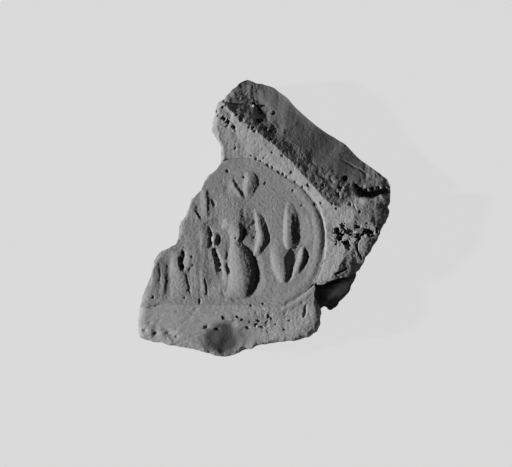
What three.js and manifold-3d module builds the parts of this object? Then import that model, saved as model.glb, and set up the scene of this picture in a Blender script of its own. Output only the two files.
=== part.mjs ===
// Clay bulla: the broken corner of a clay sealing. A wad of clay was pressed on a string, a slab
// was folded over it with a thick rolled edge, and an oval seal was pressed into the slab.
// Millimetres. The fragment lies on its flat back: +Z points up out of the seal's impression,
// +Y to the rolled edge's side, and the origin is the middle of the underside.
import * as THREE from "three";
import { mergeVertices } from "three/addons/utils/BufferGeometryUtils.js";
import Module from "manifold-3d";

const wasm = await Module();
wasm.setup();

const half = 0.5;

// Driving dimensions of the oval seal that was pressed in
const sealLength = 24.1;
const sealWidth = 20.7;
const reliefHeight = 1;
const fieldDish = 0.25;
const borderBandWidth = 1.1;
const borderHeight = 0.22;
const borderGrooveDepth = 0.4;
const borderGrooveWidth = 0.35;
const pressAllowance = 1.7;
const collarFootRise = 0.1;

// Driving dimensions of the fragment: the clay left beyond the seal's border on each side, then
// its heights above the flat back
const leftMargin = 0.42;
const sideMargin = 8.48;
const lipMargin = 4.99;
const rollMargin = 10.31;
const bullaWidth = leftMargin + sealLength + sideMargin;
const bullaLength = lipMargin + sealWidth + rollMargin;
const faceHeight = 8;
const rollHeight = 10;
const backThickness = 4.2;
const backCrown = 0.5;
const footInset = 2.6;
const seamGap = 0.2;
const edgeRound = 0.9;
const overrun = 4;

// The channel of the string under the wad
const cordDiameter = 2;
const cordShare = [0, -0.08];
const cordTurn = 0.18;

// How finely round forms are divided
const spokeCount = 104;
const crestSteps = 480;
const sealSegments = 60;
const robeSides = 16;
const lumpSides = 12;
const lumpRings = 6;
const pitSides = 8;
const pitRings = 5;
const planSegments = 40;
const cordSegments = 10;

// Grit grains of the temper, and the widest of the pits that fallen grains and breaks left
const gritClearance = 0.05;
const grainLength = 1.15;
const grainWidth = 0.7;
const pitRadius = 1;
const weldDistance = 1e-4;

// The fragment's outline seen from above, clockwise from its top. Each point has its place in
// shares of the width and the length, and its edge's height as a share of the face's height.
const outlineShares = [
  [-0.073, 0.5, 0.96],
  [0.026, 0.478, 0.88],
  [0.112, 0.413, 0.83],
  [0.178, 0.358, 0.78],
  [0.254, 0.305, 0.69],
  [0.33, 0.252, 0.66],
  [0.41, 0.195, 0.69],
  [0.468, 0.148, 0.72],
  [0.5, 0.1, 0.74],
  [0.486, 0.045, 0.85],
  [0.47, -0.02, 0.86],
  [0.419, -0.106, 0.9],
  [0.372, -0.171, 0.91],
  [0.341, -0.236, 0.84],
  [0.293, -0.301, 0.74],
  [0.256, -0.327, 0.7],
  [0.228, -0.318, 0.74],
  [0.214, -0.366, 0.8],
  [0.195, -0.41, 0.8],
  [0.148, -0.431, 0.8],
  [0.06, -0.443, 0.78],
  [-0.01, -0.453, 0.75],
  [-0.08, -0.475, 0.71],
  [-0.136, -0.496, 0.68],
  [-0.195, -0.498, 0.7],
  [-0.281, -0.475, 0.78],
  [-0.38, -0.452, 0.82],
  [-0.474, -0.431, 0.84],
  [-0.5, -0.388, 0.88],
  [-0.486, -0.323, 0.9],
  [-0.462, -0.25, 0.94],
  [-0.44, -0.18, 1],
  [-0.405, -0.118, 1.12],
  [-0.348, -0.085, 1.2],
  [-0.328, -0.02, 1.2],
  [-0.3, 0.045, 1.2],
  [-0.262, 0.105, 1.2],
  [-0.225, 0.16, 1.12],
  [-0.179, 0.193, 1.02],
  [-0.17, 0.24, 1.04],
  [-0.197, 0.3, 1.1],
  [-0.2, 0.352, 1.14],
  [-0.183, 0.413, 1.15],
  [-0.13, 0.464, 1.06],
];

// The crest of the clay round the impression, in the same shares. Its height is a share of the
// rise from the face to the top of the roll.
const crestShares = [
  [-0.114, 0.384, 0.95],
  [-0.067, 0.337, 0.85],
  [-0.008, 0.293, 0.7],
  [0.07, 0.243, 0.5],
  [0.141, 0.182, 0.4],
  [0.188, 0.13, 0.38],
  [0.242, 0.073, 0.38],
  [0.3, 0.042, 0.33],
  [0.343, 0.02, 0.3],
  [0.338, -0.035, 0.28],
  [0.33, -0.1, 0.25],
  [0.308, -0.165, 0.2],
  [0.262, -0.205, 0.13],
  [0.208, -0.235, 0.05],
  [0.197, -0.29, -0.03],
  [0.185, -0.36, -0.08],
  [0.13, -0.395, -0.22],
  [-0.01, -0.41, -0.42],
  [-0.13, -0.44, -0.48],
  [-0.2, -0.45, -0.32],
  [-0.3, -0.44, -0.2],
  [-0.43, -0.405, -0.15],
  [-0.46, -0.37, -0.08],
  [-0.45, -0.31, 0.05],
  [-0.43, -0.24, 0.15],
  [-0.41, -0.18, 0.45],
  [-0.385, -0.12, 0.85],
  [-0.33, -0.075, 0.85],
  [-0.305, -0.015, 0.85],
  [-0.28, 0.045, 0.85],
  [-0.24, 0.105, 0.85],
  [-0.205, 0.155, 0.7],
  [-0.165, 0.186, 0.3],
  [-0.158, 0.24, 0.3],
  [-0.178, 0.295, 0.5],
  [-0.185, 0.34, 0.7],
  [-0.178, 0.385, 0.85],
  [-0.155, 0.415, 0.98],
];

// Middle of the spokes that the outline and the crest are followed by
const hubShare = [0.04, -0.024];

// The side of the wad from its foot up: how much of the inset is left, and how far up it is
const sideShares = [
  [1, 0],
  [0.5, 0.14],
  [0.2, 0.42],
  [0.05, 0.75],
];

// Where the rings of the shoulder lie between the outline and the crest, and how far they have
// climbed there
const shoulderShares = [
  [0.1, 0.34],
  [0.32, 0.66],
  [0.64, 0.88],
];

// The roll's outer face is nearly straight from its crest down to the edge. It lies between these
// turns about the hub, and this much of the shoulder's bulge is left there.
const rollStartTurn = 0.3;
const rollEndTurn = 2.05;
const rollBulgeShare = 0.1;
const collarShare = 0.5;
const collarClimbShare = 0.5;
const crestLimitShare = 0.97;
const fieldShares = [0.97, 0.66, 0.33];
const seamRingShares = [0.7, 0.35];
const slabFootShare = 0.75;
const slabCoreShare = 0.5;
const wallShare = 0.6;
const edgeInsetShare = 0.3;
const sameTurn = 1;

// Where the dish and the raised band of the seal's face change slope
const dishShares = [0.4, 0.7];
const bandRiseShare = 0.2;
const bandFallShare = 0.3;

// The ends of the seal's border on the fragment, as turns about the seal's middle
const borderStartTurn = 1.66;
const borderEndTurn = -1.01;
const groundSag = 0.3;

// Raised figures, as shares of the seal's half length and half width: middle, half sizes, height
// as a share of the relief, turn in radians. They are worn lumps, ridges and strips.
const raisedFigures = {
  torso: [0.06, 0.1, 0.07, 0.18, 0.45, -0.08],
  shoulder: [0.04, 0.34, 0.1, 0.16, 0.25, 0],
  topFruit: [0.185, 0.68, 0.065, 0.155, 0.5, -0.05],
  topLeaf: [0.06, 0.6, 0.04, 0.11, 0.35, 0.35],
  blade: [0.29, 0.1, 0.032, 0.2, 0.48, 0.16],
  bladeTip: [0.262, -0.12, 0.025, 0.13, 0.3, -0.35],
  rod: [0.62, 0.14, 0.07, 0.29, 0.62, 0.03],
  vessel: [0.49, -0.22, 0.09, 0.24, 0.45, 0.16],
  vesselRib: [0.72, -0.27, 0.04, 0.18, 0.5, -0.38],
  frond: [-0.3, 0.42, 0.045, 0.17, 0.35, 0.06],
  frondSide: [-0.42, 0.32, 0.05, 0.12, 0.28, 0.5],
  trunk: [-0.33, -0.4, 0.04, 0.42, 0.3, 0.02],
  strip: [-0.62, -0.5, 0.06, 0.3, 0.36, 0.04],
  stripSide: [-0.74, -0.48, 0.035, 0.2, 0.3, -0.05],
};

// Hollows that stood out on the seal, in the same shares, with their depth
const sunkFigures = {
  fruitGroove: [0.075, 0.63, 0.02, 0.12, 0.3, 0.45],
  waistNotch: [0.11, 0.07, 0.03, 0.07, 0.45, 0],
  bladeHollow: [0.345, 0.07, 0.035, 0.18, 0.3, 0.1],
  vesselHollow: [0.61, -0.3, 0.05, 0.22, 0.5, -0.35],
  vesselSlot: [0.79, -0.29, 0.025, 0.13, 0.3, -0.42],
  frondGroove: [-0.25, 0.42, 0.022, 0.16, 0.28, -0.05],
  handHole: [-0.24, 0, 0.035, 0.12, 0.65, 0],
  armTrench: [-0.18, -0.25, 0.035, 0.16, 0.5, 0.3],
  pit: [-0.555, -0.28, 0.03, 0.12, 0.65, 0.1],
  stripGroove: [-0.48, -0.58, 0.018, 0.12, 0.28, 0.3],
};

// The robe's profile from hem to waist: radius and height up its axis, as shares of its size
const robeLength = 7.6;
const robeRadius = 1.7;
const robeProfileShares = [
  [0, 0],
  [0.66, 0.02],
  [0.88, 0.12],
  [1, 0.32],
  [0.97, 0.5],
  [0.78, 0.7],
  [0.5, 0.88],
  [0.28, 0.97],
  [0, 1],
];
const robeFootShare = [0.13, -0.75];
const robeTurn = 0.04;
const robeSinkShare = 0.5;

// Breaks and pits in the margin: each one's place in shares of the fragment, and its radius as a
// share of the widest
const pits = {
  crater: [
    [0.302, -0.028, 0.85],
    [0.281, -0.047, 0.75],
    [0.317, -0.08, 0.7],
    [0.36, -0.066, 0.95],
    [0.384, -0.042, 0.7],
    [0.346, -0.095, 0.5],
    [0.335, -0.03, 0.45],
  ],
  rollEnd: [
    [-0.155, 0.359, 0.4],
    [-0.136, 0.345, 0.45],
    [-0.116, 0.325, 0.42],
    [-0.033, 0.41, 0.4],
    [-0.02, 0.38, 0.38],
    [-0.05, 0.32, 0.35],
  ],
  lip: [
    [-0.43, -0.415, 0.5],
    [-0.366, -0.42, 0.55],
    [-0.23, -0.388, 0.32],
    [-0.035, -0.385, 0.42],
    [0.01, -0.372, 0.36],
  ],
};
const pitSinkShare = 0.25;

// A pit's profile from its bottom up, as shares of its radius
const pitProfileShares = [
  [0, -1],
  [0.72, -0.7],
  [1, 0],
];

// The fold between the roll and the side lump, from the border outwards
const foldShares = [
  [0.17, 0.068],
  [0.225, 0.075],
  [0.275, 0.1],
  [0.345, 0.108],
  [0.395, 0.078],
  [0.44, 0.08],
];
const creviceLength = 5.4;
const creviceWidth = 1.3;
const creviceDepth = 4.6;
const creviceShare = [0.425, 0.09];
const creviceTurn = 0.06;

// The broken corner at the lower right, where the wad shows
const cornerShares = [
  [0.183, -0.238],
  [0.235, -0.228],
  [0.27, -0.208],
  [0.31, -0.192],
  [0.345, -0.18],
  [0.372, -0.15],
];
const cornerFootShares = [
  [0.225, -0.38],
  [0.218, -0.33],
  [0.2, -0.285],
];

// The chip at the right edge, bounded by the crack from the crater
const chipCrackShares = [
  [0.47, -0.035],
  [0.395, -0.048],
  [0.365, -0.085],
  [0.382, -0.125],
  [0.4, -0.165],
];

// The flat dent in the lip. It falls east from its first corner, in millimetres down per
// millimetre along, and starts at this share of the face's height.
const dentSlope = 0.24;
const dentStartShare = 0.94;
const dentShares = [
  [-0.224, -0.406],
  [-0.197, -0.388],
  [-0.106, -0.352],
  [-0.094, -0.388],
  [-0.083, -0.424],
  [-0.031, -0.464],
  [-0.079, -0.51],
  [-0.173, -0.518],
  [-0.252, -0.467],
];

// Grit grains: the piece that holds each, its place in shares of the fragment, then its length and
// width as shares of the largest grain's, and its turn
const grains = {
  grit_grain_hand_hole: ["seal_face", -0.199, -0.074, 1, 1, 1.4],
  grit_grain_crater_top: ["edge_chip", 0.402, -0.063, 0.52, 0.64, 0.7],
  grit_grain_crater_low: ["side_lump", 0.362, -0.086, 0.57, 0.71, 0.2],
  grit_grain_crater_left: ["side_lump", 0.338, -0.076, 0.48, 0.6, 1.1],
  grit_grain_roll_end: ["rim_roll", -0.042, 0.405, 0.52, 0.64, 0.9],
  grit_grain_roll_edge: ["rim_roll", -0.12, 0.316, 0.48, 0.6, 0.3],
  grit_grain_lip: ["bottom_lip", -0.025, -0.39, 0.52, 0.66, 0.5],
};
const grainSinkShare = 0.2;

const middle = new THREE.Vector2(
  leftMargin + (sealLength - bullaWidth) * half,
  lipMargin + (sealWidth - bullaLength) * half,
);
const hub = new THREE.Vector2(hubShare[0] * bullaWidth, hubShare[1] * bullaLength);
const rollRise = rollHeight - faceHeight;
const topOfAll = rollHeight + overrun;

// A place on the fragment from shares of its width and length
function onBulla([xShare, yShare], height = 0) {
  return new THREE.Vector3(xShare * bullaWidth, yShare * bullaLength, height);
}

// A place on the seal from shares of its half length and half width
function onSeal(xShare, yShare, height = 0) {
  return new THREE.Vector3(
    middle.x + xShare * sealLength * half,
    middle.y + yShare * sealWidth * half,
    height,
  );
}

// The seam between the backing wad and the clay on it: a low crown
function seamHeight(x, y) {
  const across = Math.cos((Math.PI * x) / bullaWidth);
  const along = Math.cos((Math.PI * y) / bullaLength);
  return backThickness + backCrown * across * along;
}

const below = (x, y) => seamHeight(x, y) - seamGap * half;
const above = (x, y) => seamHeight(x, y) + seamGap * half;
const mix = (from, to, share) => from + (to - from) * share;

// A closed mesh as a solid that can be joined and cut
function solidOf(geometry) {
  const plain = geometry.index ? geometry.toNonIndexed() : geometry.clone();
  plain.deleteAttribute("normal");
  plain.deleteAttribute("uv");
  const merged = mergeVertices(plain, weldDistance);
  return new wasm.Manifold(
    new wasm.Mesh({
      numProp: 3,
      vertProperties: new Float32Array(merged.attributes.position.array),
      triVerts: new Uint32Array(merged.index.array),
    }),
  );
}

// The outline as a closed curve whose z is the height of the edge
const outline = new THREE.CatmullRomCurve3(
  outlineShares.map((s) => onBulla(s, s[2] * faceHeight)),
  true,
  "centripetal",
);
const crest = new THREE.CatmullRomCurve3(
  crestShares.map((s) => onBulla(s, faceHeight + s[2] * rollRise)),
  true,
  "centripetal",
);

const crestPoints = crest.getPoints(crestSteps).map((p) => ({
  angle: Math.atan2(p.y - hub.y, p.x - hub.x),
  reach: Math.hypot(p.x - hub.x, p.y - hub.y),
  height: p.z,
}));

// The crest's distance and height on the spoke with this angle, between the two points of the
// crest that lie on either side of it
function crestOnSpoke(angle) {
  const past = (p) => Math.atan2(Math.sin(p.angle - angle), Math.cos(p.angle - angle));
  for (let i = 1; i < crestPoints.length; i++) {
    const before = past(crestPoints[i - 1]);
    const after = past(crestPoints[i]);
    const near = Math.abs(before) + Math.abs(after) < sameTurn;
    if (near && before >= 0 && after <= 0 && before > after) {
      const share = before / (before - after);
      return {
        reach: mix(crestPoints[i - 1].reach, crestPoints[i].reach, share),
        height: mix(crestPoints[i - 1].height, crestPoints[i].height, share),
      };
    }
  }
  throw new Error("the crest has a gap");
}

// Distance from the hub to the border of the seal along a spoke
function borderReach(angle) {
  const a = sealLength * half;
  const b = sealWidth * half;
  const dx = Math.cos(angle) / a;
  const dy = Math.sin(angle) / b;
  const ox = (hub.x - middle.x) / a;
  const oy = (hub.y - middle.y) / b;
  const p = dx * dx + dy * dy;
  const q = dx * ox + dy * oy;
  const r = ox * ox + oy * oy - 1;
  return (-q + Math.sqrt(q * q - p * r)) / p;
}

const spokes = [];
for (let i = 0; i < spokeCount; i++) {
  const p = outline.getPointAt(i / spokeCount);
  const angle = Math.atan2(p.y - hub.y, p.x - hub.x);
  const reach = Math.hypot(p.x - hub.x, p.y - hub.y);
  const top = crestOnSpoke(angle);
  const crestReach = Math.min(top.reach, reach * crestLimitShare);
  const border = Math.min(borderReach(angle), crestReach * crestLimitShare);
  const bulge = angle > rollStartTurn && angle < rollEndTurn ? rollBulgeShare : 1;
  spokes.push({ angle, reach, edge: p.z, crest: crestReach, crestHeight: top.height, border, bulge });
}

// A closed body of rings that all run round the same spokes, from the lower pole to the upper one.
// A ring is a function from a spoke to its distance from the hub and its height there.
function ringBody(rings, lowerPole, upperPole) {
  const vertices = [hub.x, hub.y, lowerPole];
  for (const ring of rings)
    for (const spoke of spokes) {
      const [reach, heightAt] = ring(spoke);
      const x = hub.x + reach * Math.cos(spoke.angle);
      const y = hub.y + reach * Math.sin(spoke.angle);
      vertices.push(x, y, typeof heightAt === "function" ? heightAt(x, y) : heightAt);
    }
  vertices.push(hub.x, hub.y, upperPole);
  const n = spokes.length;
  const last = rings.length * n + 1;
  const faces = [];
  for (let j = 0; j < n; j++) {
    const k = (j + 1) % n;
    faces.push(0, 1 + j, 1 + k);
    for (let r = 0; r + 1 < rings.length; r++) {
      const a = 1 + r * n + j;
      const b = 1 + r * n + k;
      faces.push(a, a + n, b, b, a + n, b + n);
    }
    const end = 1 + (rings.length - 1) * n;
    faces.push(end + j, last, end + k);
  }
  const geometry = new THREE.BufferGeometry();
  geometry.setAttribute("position", new THREE.Float32BufferAttribute(vertices, 3));
  geometry.setIndex(faces);
  return geometry;
}

// The backing wad: a flat foot, a rounded side and a low crown under the seam
function backWad() {
  const rings = [];
  for (const [inset, up] of sideShares)
    rings.push((s) => [s.reach - footInset * inset, backThickness * up]);
  rings.push((s) => [s.reach, below]);
  for (const share of seamRingShares) rings.push((s) => [s.reach * share, below]);
  const body = solidOf(ringBody(rings, 0, below(hub.x, hub.y)));
  return body.subtract(cordChannel());
}

// The channel that the string left across the underside, where it ran through the wet clay
function cordChannel() {
  const round = new THREE.Shape();
  round.absarc(0, 0, cordDiameter * half, 0, Math.PI * 2);
  const length = bullaWidth + overrun * 2;
  const rod = new THREE.ExtrudeGeometry(round, {
    depth: length,
    bevelEnabled: false,
    curveSegments: cordSegments,
  });
  rod.translate(0, 0, -length * half);
  rod.rotateY(Math.PI * half);
  rod.rotateZ(cordTurn);
  rod.translate(...onBulla(cordShare).toArray());
  return solidOf(rod);
}

// The clay on the wad before the seal is pressed in: its edge, the shoulder up to the crest, the
// collar down to the border and the thick middle
function freshSlab() {
  const rings = [
    (s) => [s.border * slabCoreShare, above],
    (s) => [s.reach * slabFootShare, above],
    (s) => [s.reach, above],
    (s) => [s.reach, mix(backThickness, s.edge, wallShare)],
    (s) => [s.reach - edgeRound * edgeInsetShare, s.edge],
  ];
  for (const [across, climb] of shoulderShares)
    rings.push((s) => [
      mix(s.reach, s.crest, across),
      mix(s.edge, s.crestHeight, mix(across, climb, s.bulge)),
    ]);
  rings.push((s) => [s.crest, s.crestHeight]);
  rings.push((s) => [
    mix(s.border, s.crest, collarShare),
    mix(footOf(s), s.crestHeight, collarClimbShare),
  ]);
  rings.push((s) => [s.border, footOf(s)]);
  const unpressed = faceHeight + pressAllowance;
  for (const share of fieldShares) rings.push((s) => [s.border * share, unpressed]);
  return solidOf(ringBody(rings, above(hub.x, hub.y), unpressed));
}

// The height at the foot of the collar: level with the field, or lower where the margin is low
function footOf(spoke) {
  return Math.min(faceHeight + collarFootRise, Math.max(spoke.crestHeight, faceHeight));
}

// The seal: a shallow domed disc whose rim has a channel and a sharp ridge, which print the
// border's raised band and its groove
function sealBody() {
  const radius = sealLength * half;
  const dish = (r) => fieldDish * ((r / radius) ** 2 - 1);
  const bandMiddle = radius - borderGrooveWidth * 2 - borderBandWidth * half;
  const points = [
    [0, faceHeight + dish(0)],
    ...dishShares.map((share) => [radius * share, faceHeight + dish(radius * share)]),
    [bandMiddle - borderBandWidth * half, faceHeight + dish(bandMiddle)],
    [bandMiddle - borderBandWidth * bandRiseShare, faceHeight + borderHeight],
    [bandMiddle + borderBandWidth * bandFallShare, faceHeight + borderHeight],
    [radius - borderGrooveWidth, faceHeight - borderGrooveDepth],
    [radius, faceHeight + collarFootRise],
    [radius, topOfAll],
    [0, topOfAll],
  ].map(([r, z]) => new THREE.Vector2(r, z));
  const disc = new THREE.LatheGeometry(points, sealSegments);
  disc.rotateX(Math.PI * half);
  disc.scale(1, sealWidth / sealLength, 1);
  disc.translate(middle.x, middle.y, 0);
  return solidOf(disc);
}

// A smooth worn lump: a ball stretched to its half sizes, turned and set down
function lump(halfLength, halfWidth, halfHeight, turn, place) {
  const ball = new THREE.SphereGeometry(1, lumpSides, lumpRings);
  ball.rotateX(Math.PI * half);
  ball.scale(halfWidth, halfLength, halfHeight);
  ball.rotateZ(turn);
  ball.translate(place.x, place.y, place.z);
  return solidOf(ball);
}

// One figure of the seal as a lump whose middle lies at the level of the field
function figure([xShare, yShare, widthShare, lengthShare, heightShare, turn]) {
  return lump(
    lengthShare * sealWidth * half,
    widthShare * sealLength * half,
    heightShare * reliefHeight,
    turn,
    onSeal(xShare, yShare, faceHeight - fieldDish * half),
  );
}

// The robe: a bell turned on its axis and laid on the field, sunk by a share of its radius
function robe() {
  const points = robeProfileShares.map(
    ([r, up]) => new THREE.Vector2(r * robeRadius, up * robeLength),
  );
  const bell = new THREE.LatheGeometry(points, robeSides);
  bell.rotateZ(robeTurn);
  const foot = onSeal(...robeFootShare, faceHeight - robeSinkShare * robeRadius);
  bell.translate(foot.x, foot.y, foot.z);
  return solidOf(bell);
}

// The seal with its figures cut into it as hollows, and with what stands out on it
function engravedSeal() {
  let seal = sealBody().subtract(robe());
  for (const shares of Object.values(raisedFigures)) seal = seal.subtract(figure(shares));
  for (const shares of Object.values(sunkFigures)) seal = seal.add(figure(shares));
  return seal;
}

// A region of the plan as a tall block
function block(shape) {
  const tall = new THREE.ExtrudeGeometry(shape, {
    depth: topOfAll + overrun,
    bevelEnabled: false,
    curveSegments: planSegments,
  });
  tall.translate(0, 0, -overrun);
  return solidOf(tall);
}

function planOf(points) {
  return new THREE.Shape(points.map((p) => new THREE.Vector2(p.x, p.y)));
}

// The seal's face in plan, wider by what is asked: the border from the broken left side round the
// top and the right, then back along the ground line under the figures
function facePlan(wider) {
  const shape = new THREE.Shape();
  const a = sealLength * half + wider;
  const b = sealWidth * half + wider;
  const farLeft = -bullaWidth * half - overrun;
  const endX = middle.x + a * Math.cos(borderEndTurn);
  const endY = middle.y + b * Math.sin(borderEndTurn);
  shape.moveTo(farLeft, endY);
  shape.lineTo(farLeft, middle.y + b * Math.sin(borderStartTurn));
  shape.absellipse(middle.x, middle.y, a, b, borderStartTurn, borderEndTurn, true);
  shape.quadraticCurveTo(mix(endX, farLeft, half), endY + groundSag, farLeft, endY);
  return shape;
}

// An open path shifted sideways by a distance, to the left of its own direction
function beside(path, distance) {
  return path.map((p, i) => {
    const from = path[Math.max(i - 1, 0)];
    const to = path[Math.min(i + 1, path.length - 1)];
    const along = to.clone().sub(from).normalize();
    return new THREE.Vector3(p.x - along.y * distance, p.y + along.x * distance, 0);
  });
}

// Everything on the roll's side of the fold, which runs from the border to the right edge
function rollPlan(wider) {
  const fold = beside(foldShares.map((s) => onBulla(s)), -wider);
  const far = bullaLength;
  const outside = [
    [far, fold[fold.length - 1].y],
    [far, far],
    [-far, far],
    [-far, fold[0].y],
  ].map(([x, y]) => new THREE.Vector3(x, y, 0));
  return planOf([...fold, ...outside]);
}

// The broken corner at the lower right
function cornerPlan() {
  const far = bullaLength;
  const top = cornerShares.map((s) => onBulla(s));
  const foot = cornerFootShares.map((s) => onBulla(s));
  const outside = [
    [far, top[top.length - 1].y],
    [far, foot[0].y],
  ].map(([x, y]) => new THREE.Vector3(x, y, 0));
  return planOf([...top, ...outside, ...foot]);
}

// Everything lower in plan than the notch where the corner broke away
function lowerPlan(wider) {
  const far = bullaLength;
  const level = onBulla(cornerShares[0]).y + wider;
  return planOf([
    new THREE.Vector3(-far, level, 0),
    new THREE.Vector3(-far, -far, 0),
    new THREE.Vector3(far, -far, 0),
    new THREE.Vector3(far, level, 0),
  ]);
}

// The chip beyond the crack
function chipPlan(wider) {
  const crack = beside(chipCrackShares.map((s) => onBulla(s)), -wider);
  const far = bullaLength;
  const outside = [
    [far, crack[crack.length - 1].y],
    [far, crack[0].y],
  ].map(([x, y]) => new THREE.Vector3(x, y, 0));
  return planOf([...crack, ...outside]);
}

// A solid's main body, without the crumbs that a cut leaves
function mainBody(solid) {
  return solid.decompose().reduce((a, b) => (a.volume() > b.volume() ? a : b));
}

// A solid as a mesh for the scene
function meshOf(name, solid, material) {
  const data = solid.getMesh();
  const geometry = new THREE.BufferGeometry();
  geometry.setAttribute("position", new THREE.BufferAttribute(data.vertProperties, 3));
  geometry.setIndex(new THREE.BufferAttribute(data.triVerts, 1));
  geometry.computeVertexNormals();
  const mesh = new THREE.Mesh(geometry, material);
  mesh.name = name;
  return mesh;
}

// The height of a solid's upper side at a place in plan
function topAt(solid, x, y) {
  const look = new THREE.Raycaster(new THREE.Vector3(x, y, topOfAll), new THREE.Vector3(0, 0, -1));
  const seen = look.intersectObject(meshOf("seen", solid, new THREE.MeshBasicMaterial()));
  return seen.length ? seen[0].point.z : faceHeight;
}

// A round pit: a cup whose walls go straight up out of the clay
function cup(x, y, z, radius) {
  const points = pitProfileShares.map(
    ([r, up]) => new THREE.Vector2(r * radius, up * radius),
  );
  const wallTop = topOfAll - z;
  points.push(new THREE.Vector2(radius, wallTop), new THREE.Vector2(0, wallTop));
  const turned = new THREE.LatheGeometry(points, pitSides);
  turned.rotateX(Math.PI * half);
  turned.translate(x, y, z);
  return solidOf(turned);
}

// A grain: a small ball, stretched and turned
function ball(x, y, z, halfLength, halfWidth, turn) {
  const round = new THREE.SphereGeometry(1, pitSides, pitRings);
  round.scale(halfLength, halfWidth, halfWidth);
  round.rotateZ(turn);
  round.translate(x, y, z);
  return solidOf(round);
}

function pitted(solid, places) {
  let cut = solid;
  for (const [xShare, yShare, radiusShare] of places) {
    const p = onBulla([xShare, yShare]);
    const radius = radiusShare * pitRadius;
    const z = topAt(solid, p.x, p.y) - radius * pitSinkShare;
    cut = cut.subtract(cup(p.x, p.y, z, radius));
  }
  return mainBody(cut);
}

const slab = freshSlab().subtract(engravedSeal());
const rest = slab.subtract(block(facePlan(seamGap))).subtract(block(cornerPlan()));

const crevice = lump(
  creviceWidth * half,
  creviceLength * half,
  creviceDepth * half,
  creviceTurn,
  onBulla(creviceShare, mix(backThickness, rollHeight, half)),
);

// What the dent took away: everything over a sloping plane, within the dent's corners
function dent() {
  const far = bullaLength;
  const over = new THREE.BoxGeometry(far, far, far);
  over.translate(0, 0, far * half);
  over.rotateY(Math.atan(dentSlope));
  over.translate(...onBulla(dentShares[0], dentStartShare * faceHeight).toArray());
  return block(planOf(dentShares.map((s) => onBulla(s)))).intersect(solidOf(over));
}

const besideRoll = rest.subtract(block(rollPlan(seamGap))).subtract(block(lowerPlan(seamGap)));
const clay = {
  back_wad: backWad(),
  seal_face: mainBody(slab.intersect(block(facePlan(0))).subtract(block(cornerPlan()))),
  rim_roll: pitted(rest.intersect(block(rollPlan(0))).subtract(crevice), pits.rollEnd),
  side_lump: pitted(besideRoll.subtract(block(chipPlan(seamGap))).subtract(crevice), pits.crater),
  edge_chip: pitted(besideRoll.intersect(block(chipPlan(0))), pits.crater),
  bottom_lip: pitted(rest.intersect(block(lowerPlan(0))).subtract(dent()), pits.lip),
};

const fragment = new THREE.Group();
const dryClay = () => new THREE.MeshStandardMaterial({ color: 0x8a8a8a, roughness: 0.95, metalness: 0 });
const darkClay = () => new THREE.MeshStandardMaterial({ color: 0x6e6e6e, roughness: 0.97, metalness: 0 });
const paleGrit = () => new THREE.MeshStandardMaterial({ color: 0xc4c4c4, roughness: 0.8, metalness: 0 });

// Each grain lies in a socket in the clay round it
for (const [name, [host, xShare, yShare, longShare, wideShare, turn]] of Object.entries(grains)) {
  const p = onBulla([xShare, yShare]);
  const long = longShare * grainLength * half;
  const wide = wideShare * grainWidth * half;
  const z = topAt(clay[host], p.x, p.y) - wide * grainSinkShare;
  const socket = ball(p.x, p.y, z, long + gritClearance, wide + gritClearance, turn);
  for (const piece of Object.keys(clay)) clay[piece] = mainBody(clay[piece].subtract(socket));
  fragment.add(meshOf(name, ball(p.x, p.y, z, long, wide, turn), paleGrit()));
}
for (const [name, solid] of Object.entries(clay))
  fragment.add(meshOf(name, solid, name === "back_wad" ? darkClay() : dryClay()));

export default fragment;
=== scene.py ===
# %% [markdown]
# # A broken clay bulla
# A bulla is a lump of clay that was pressed over a string and stamped with a seal. This one is a
# broken corner: part of the oval impression, a thick rolled edge at the upper right, a lump with
# a crater at the right, and a broken corner where the backing wad shows.
#
# The clay is made as heights over a plan. One function gives the height of the whole upper side
# at any place, and each wad of clay is cut out of it by its own outline. A sculpted mesh would
# also do, but a height function keeps the wads in step along their seams, and it can be read.

import bpy
import numpy as np
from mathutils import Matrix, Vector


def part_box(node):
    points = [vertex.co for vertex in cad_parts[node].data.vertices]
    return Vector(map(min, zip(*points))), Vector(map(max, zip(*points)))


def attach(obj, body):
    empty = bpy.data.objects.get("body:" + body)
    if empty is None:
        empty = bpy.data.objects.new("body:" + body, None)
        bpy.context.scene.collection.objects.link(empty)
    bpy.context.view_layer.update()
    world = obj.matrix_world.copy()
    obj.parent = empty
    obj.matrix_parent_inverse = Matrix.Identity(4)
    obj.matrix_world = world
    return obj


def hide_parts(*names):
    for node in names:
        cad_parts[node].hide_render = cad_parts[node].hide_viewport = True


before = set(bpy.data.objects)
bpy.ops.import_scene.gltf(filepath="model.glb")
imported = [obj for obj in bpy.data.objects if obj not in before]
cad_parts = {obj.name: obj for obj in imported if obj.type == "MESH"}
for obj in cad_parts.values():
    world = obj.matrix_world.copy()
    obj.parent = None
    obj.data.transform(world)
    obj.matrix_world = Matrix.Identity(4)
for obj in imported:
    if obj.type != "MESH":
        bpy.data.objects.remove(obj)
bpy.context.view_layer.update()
print("nodes:", sorted(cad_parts))

# %% [markdown]
# ## Sizes
# Everything is worked out in millimetres and turned into metres when a mesh is written. The
# places of the small forms were read off the photograph, so they are written as its pixels,
# x to the right and y down, and one function turns them into millimetres.

# %% Sizes
MM = 0.001
PIXELS_PER_MM = 7.7
PLAN_MIDDLE = (264.0, 218.5)
IMAGE_SIZE = (512, 467)

# Heights of the pressed face and of the seam with the backing wad, the seam's crown, the hairline
# between wads, how far their sides draw in, and the fragment's width and length
FACE_HEIGHT = 8.0
SEAM_HEIGHT = 4.2
SEAM_CROWN = 0.5
SEAM_GAP = 0.008
SEAM_INSET = 0.12
BULLA_WIDTH = 33.0
BULLA_LENGTH = 36.0


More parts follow.
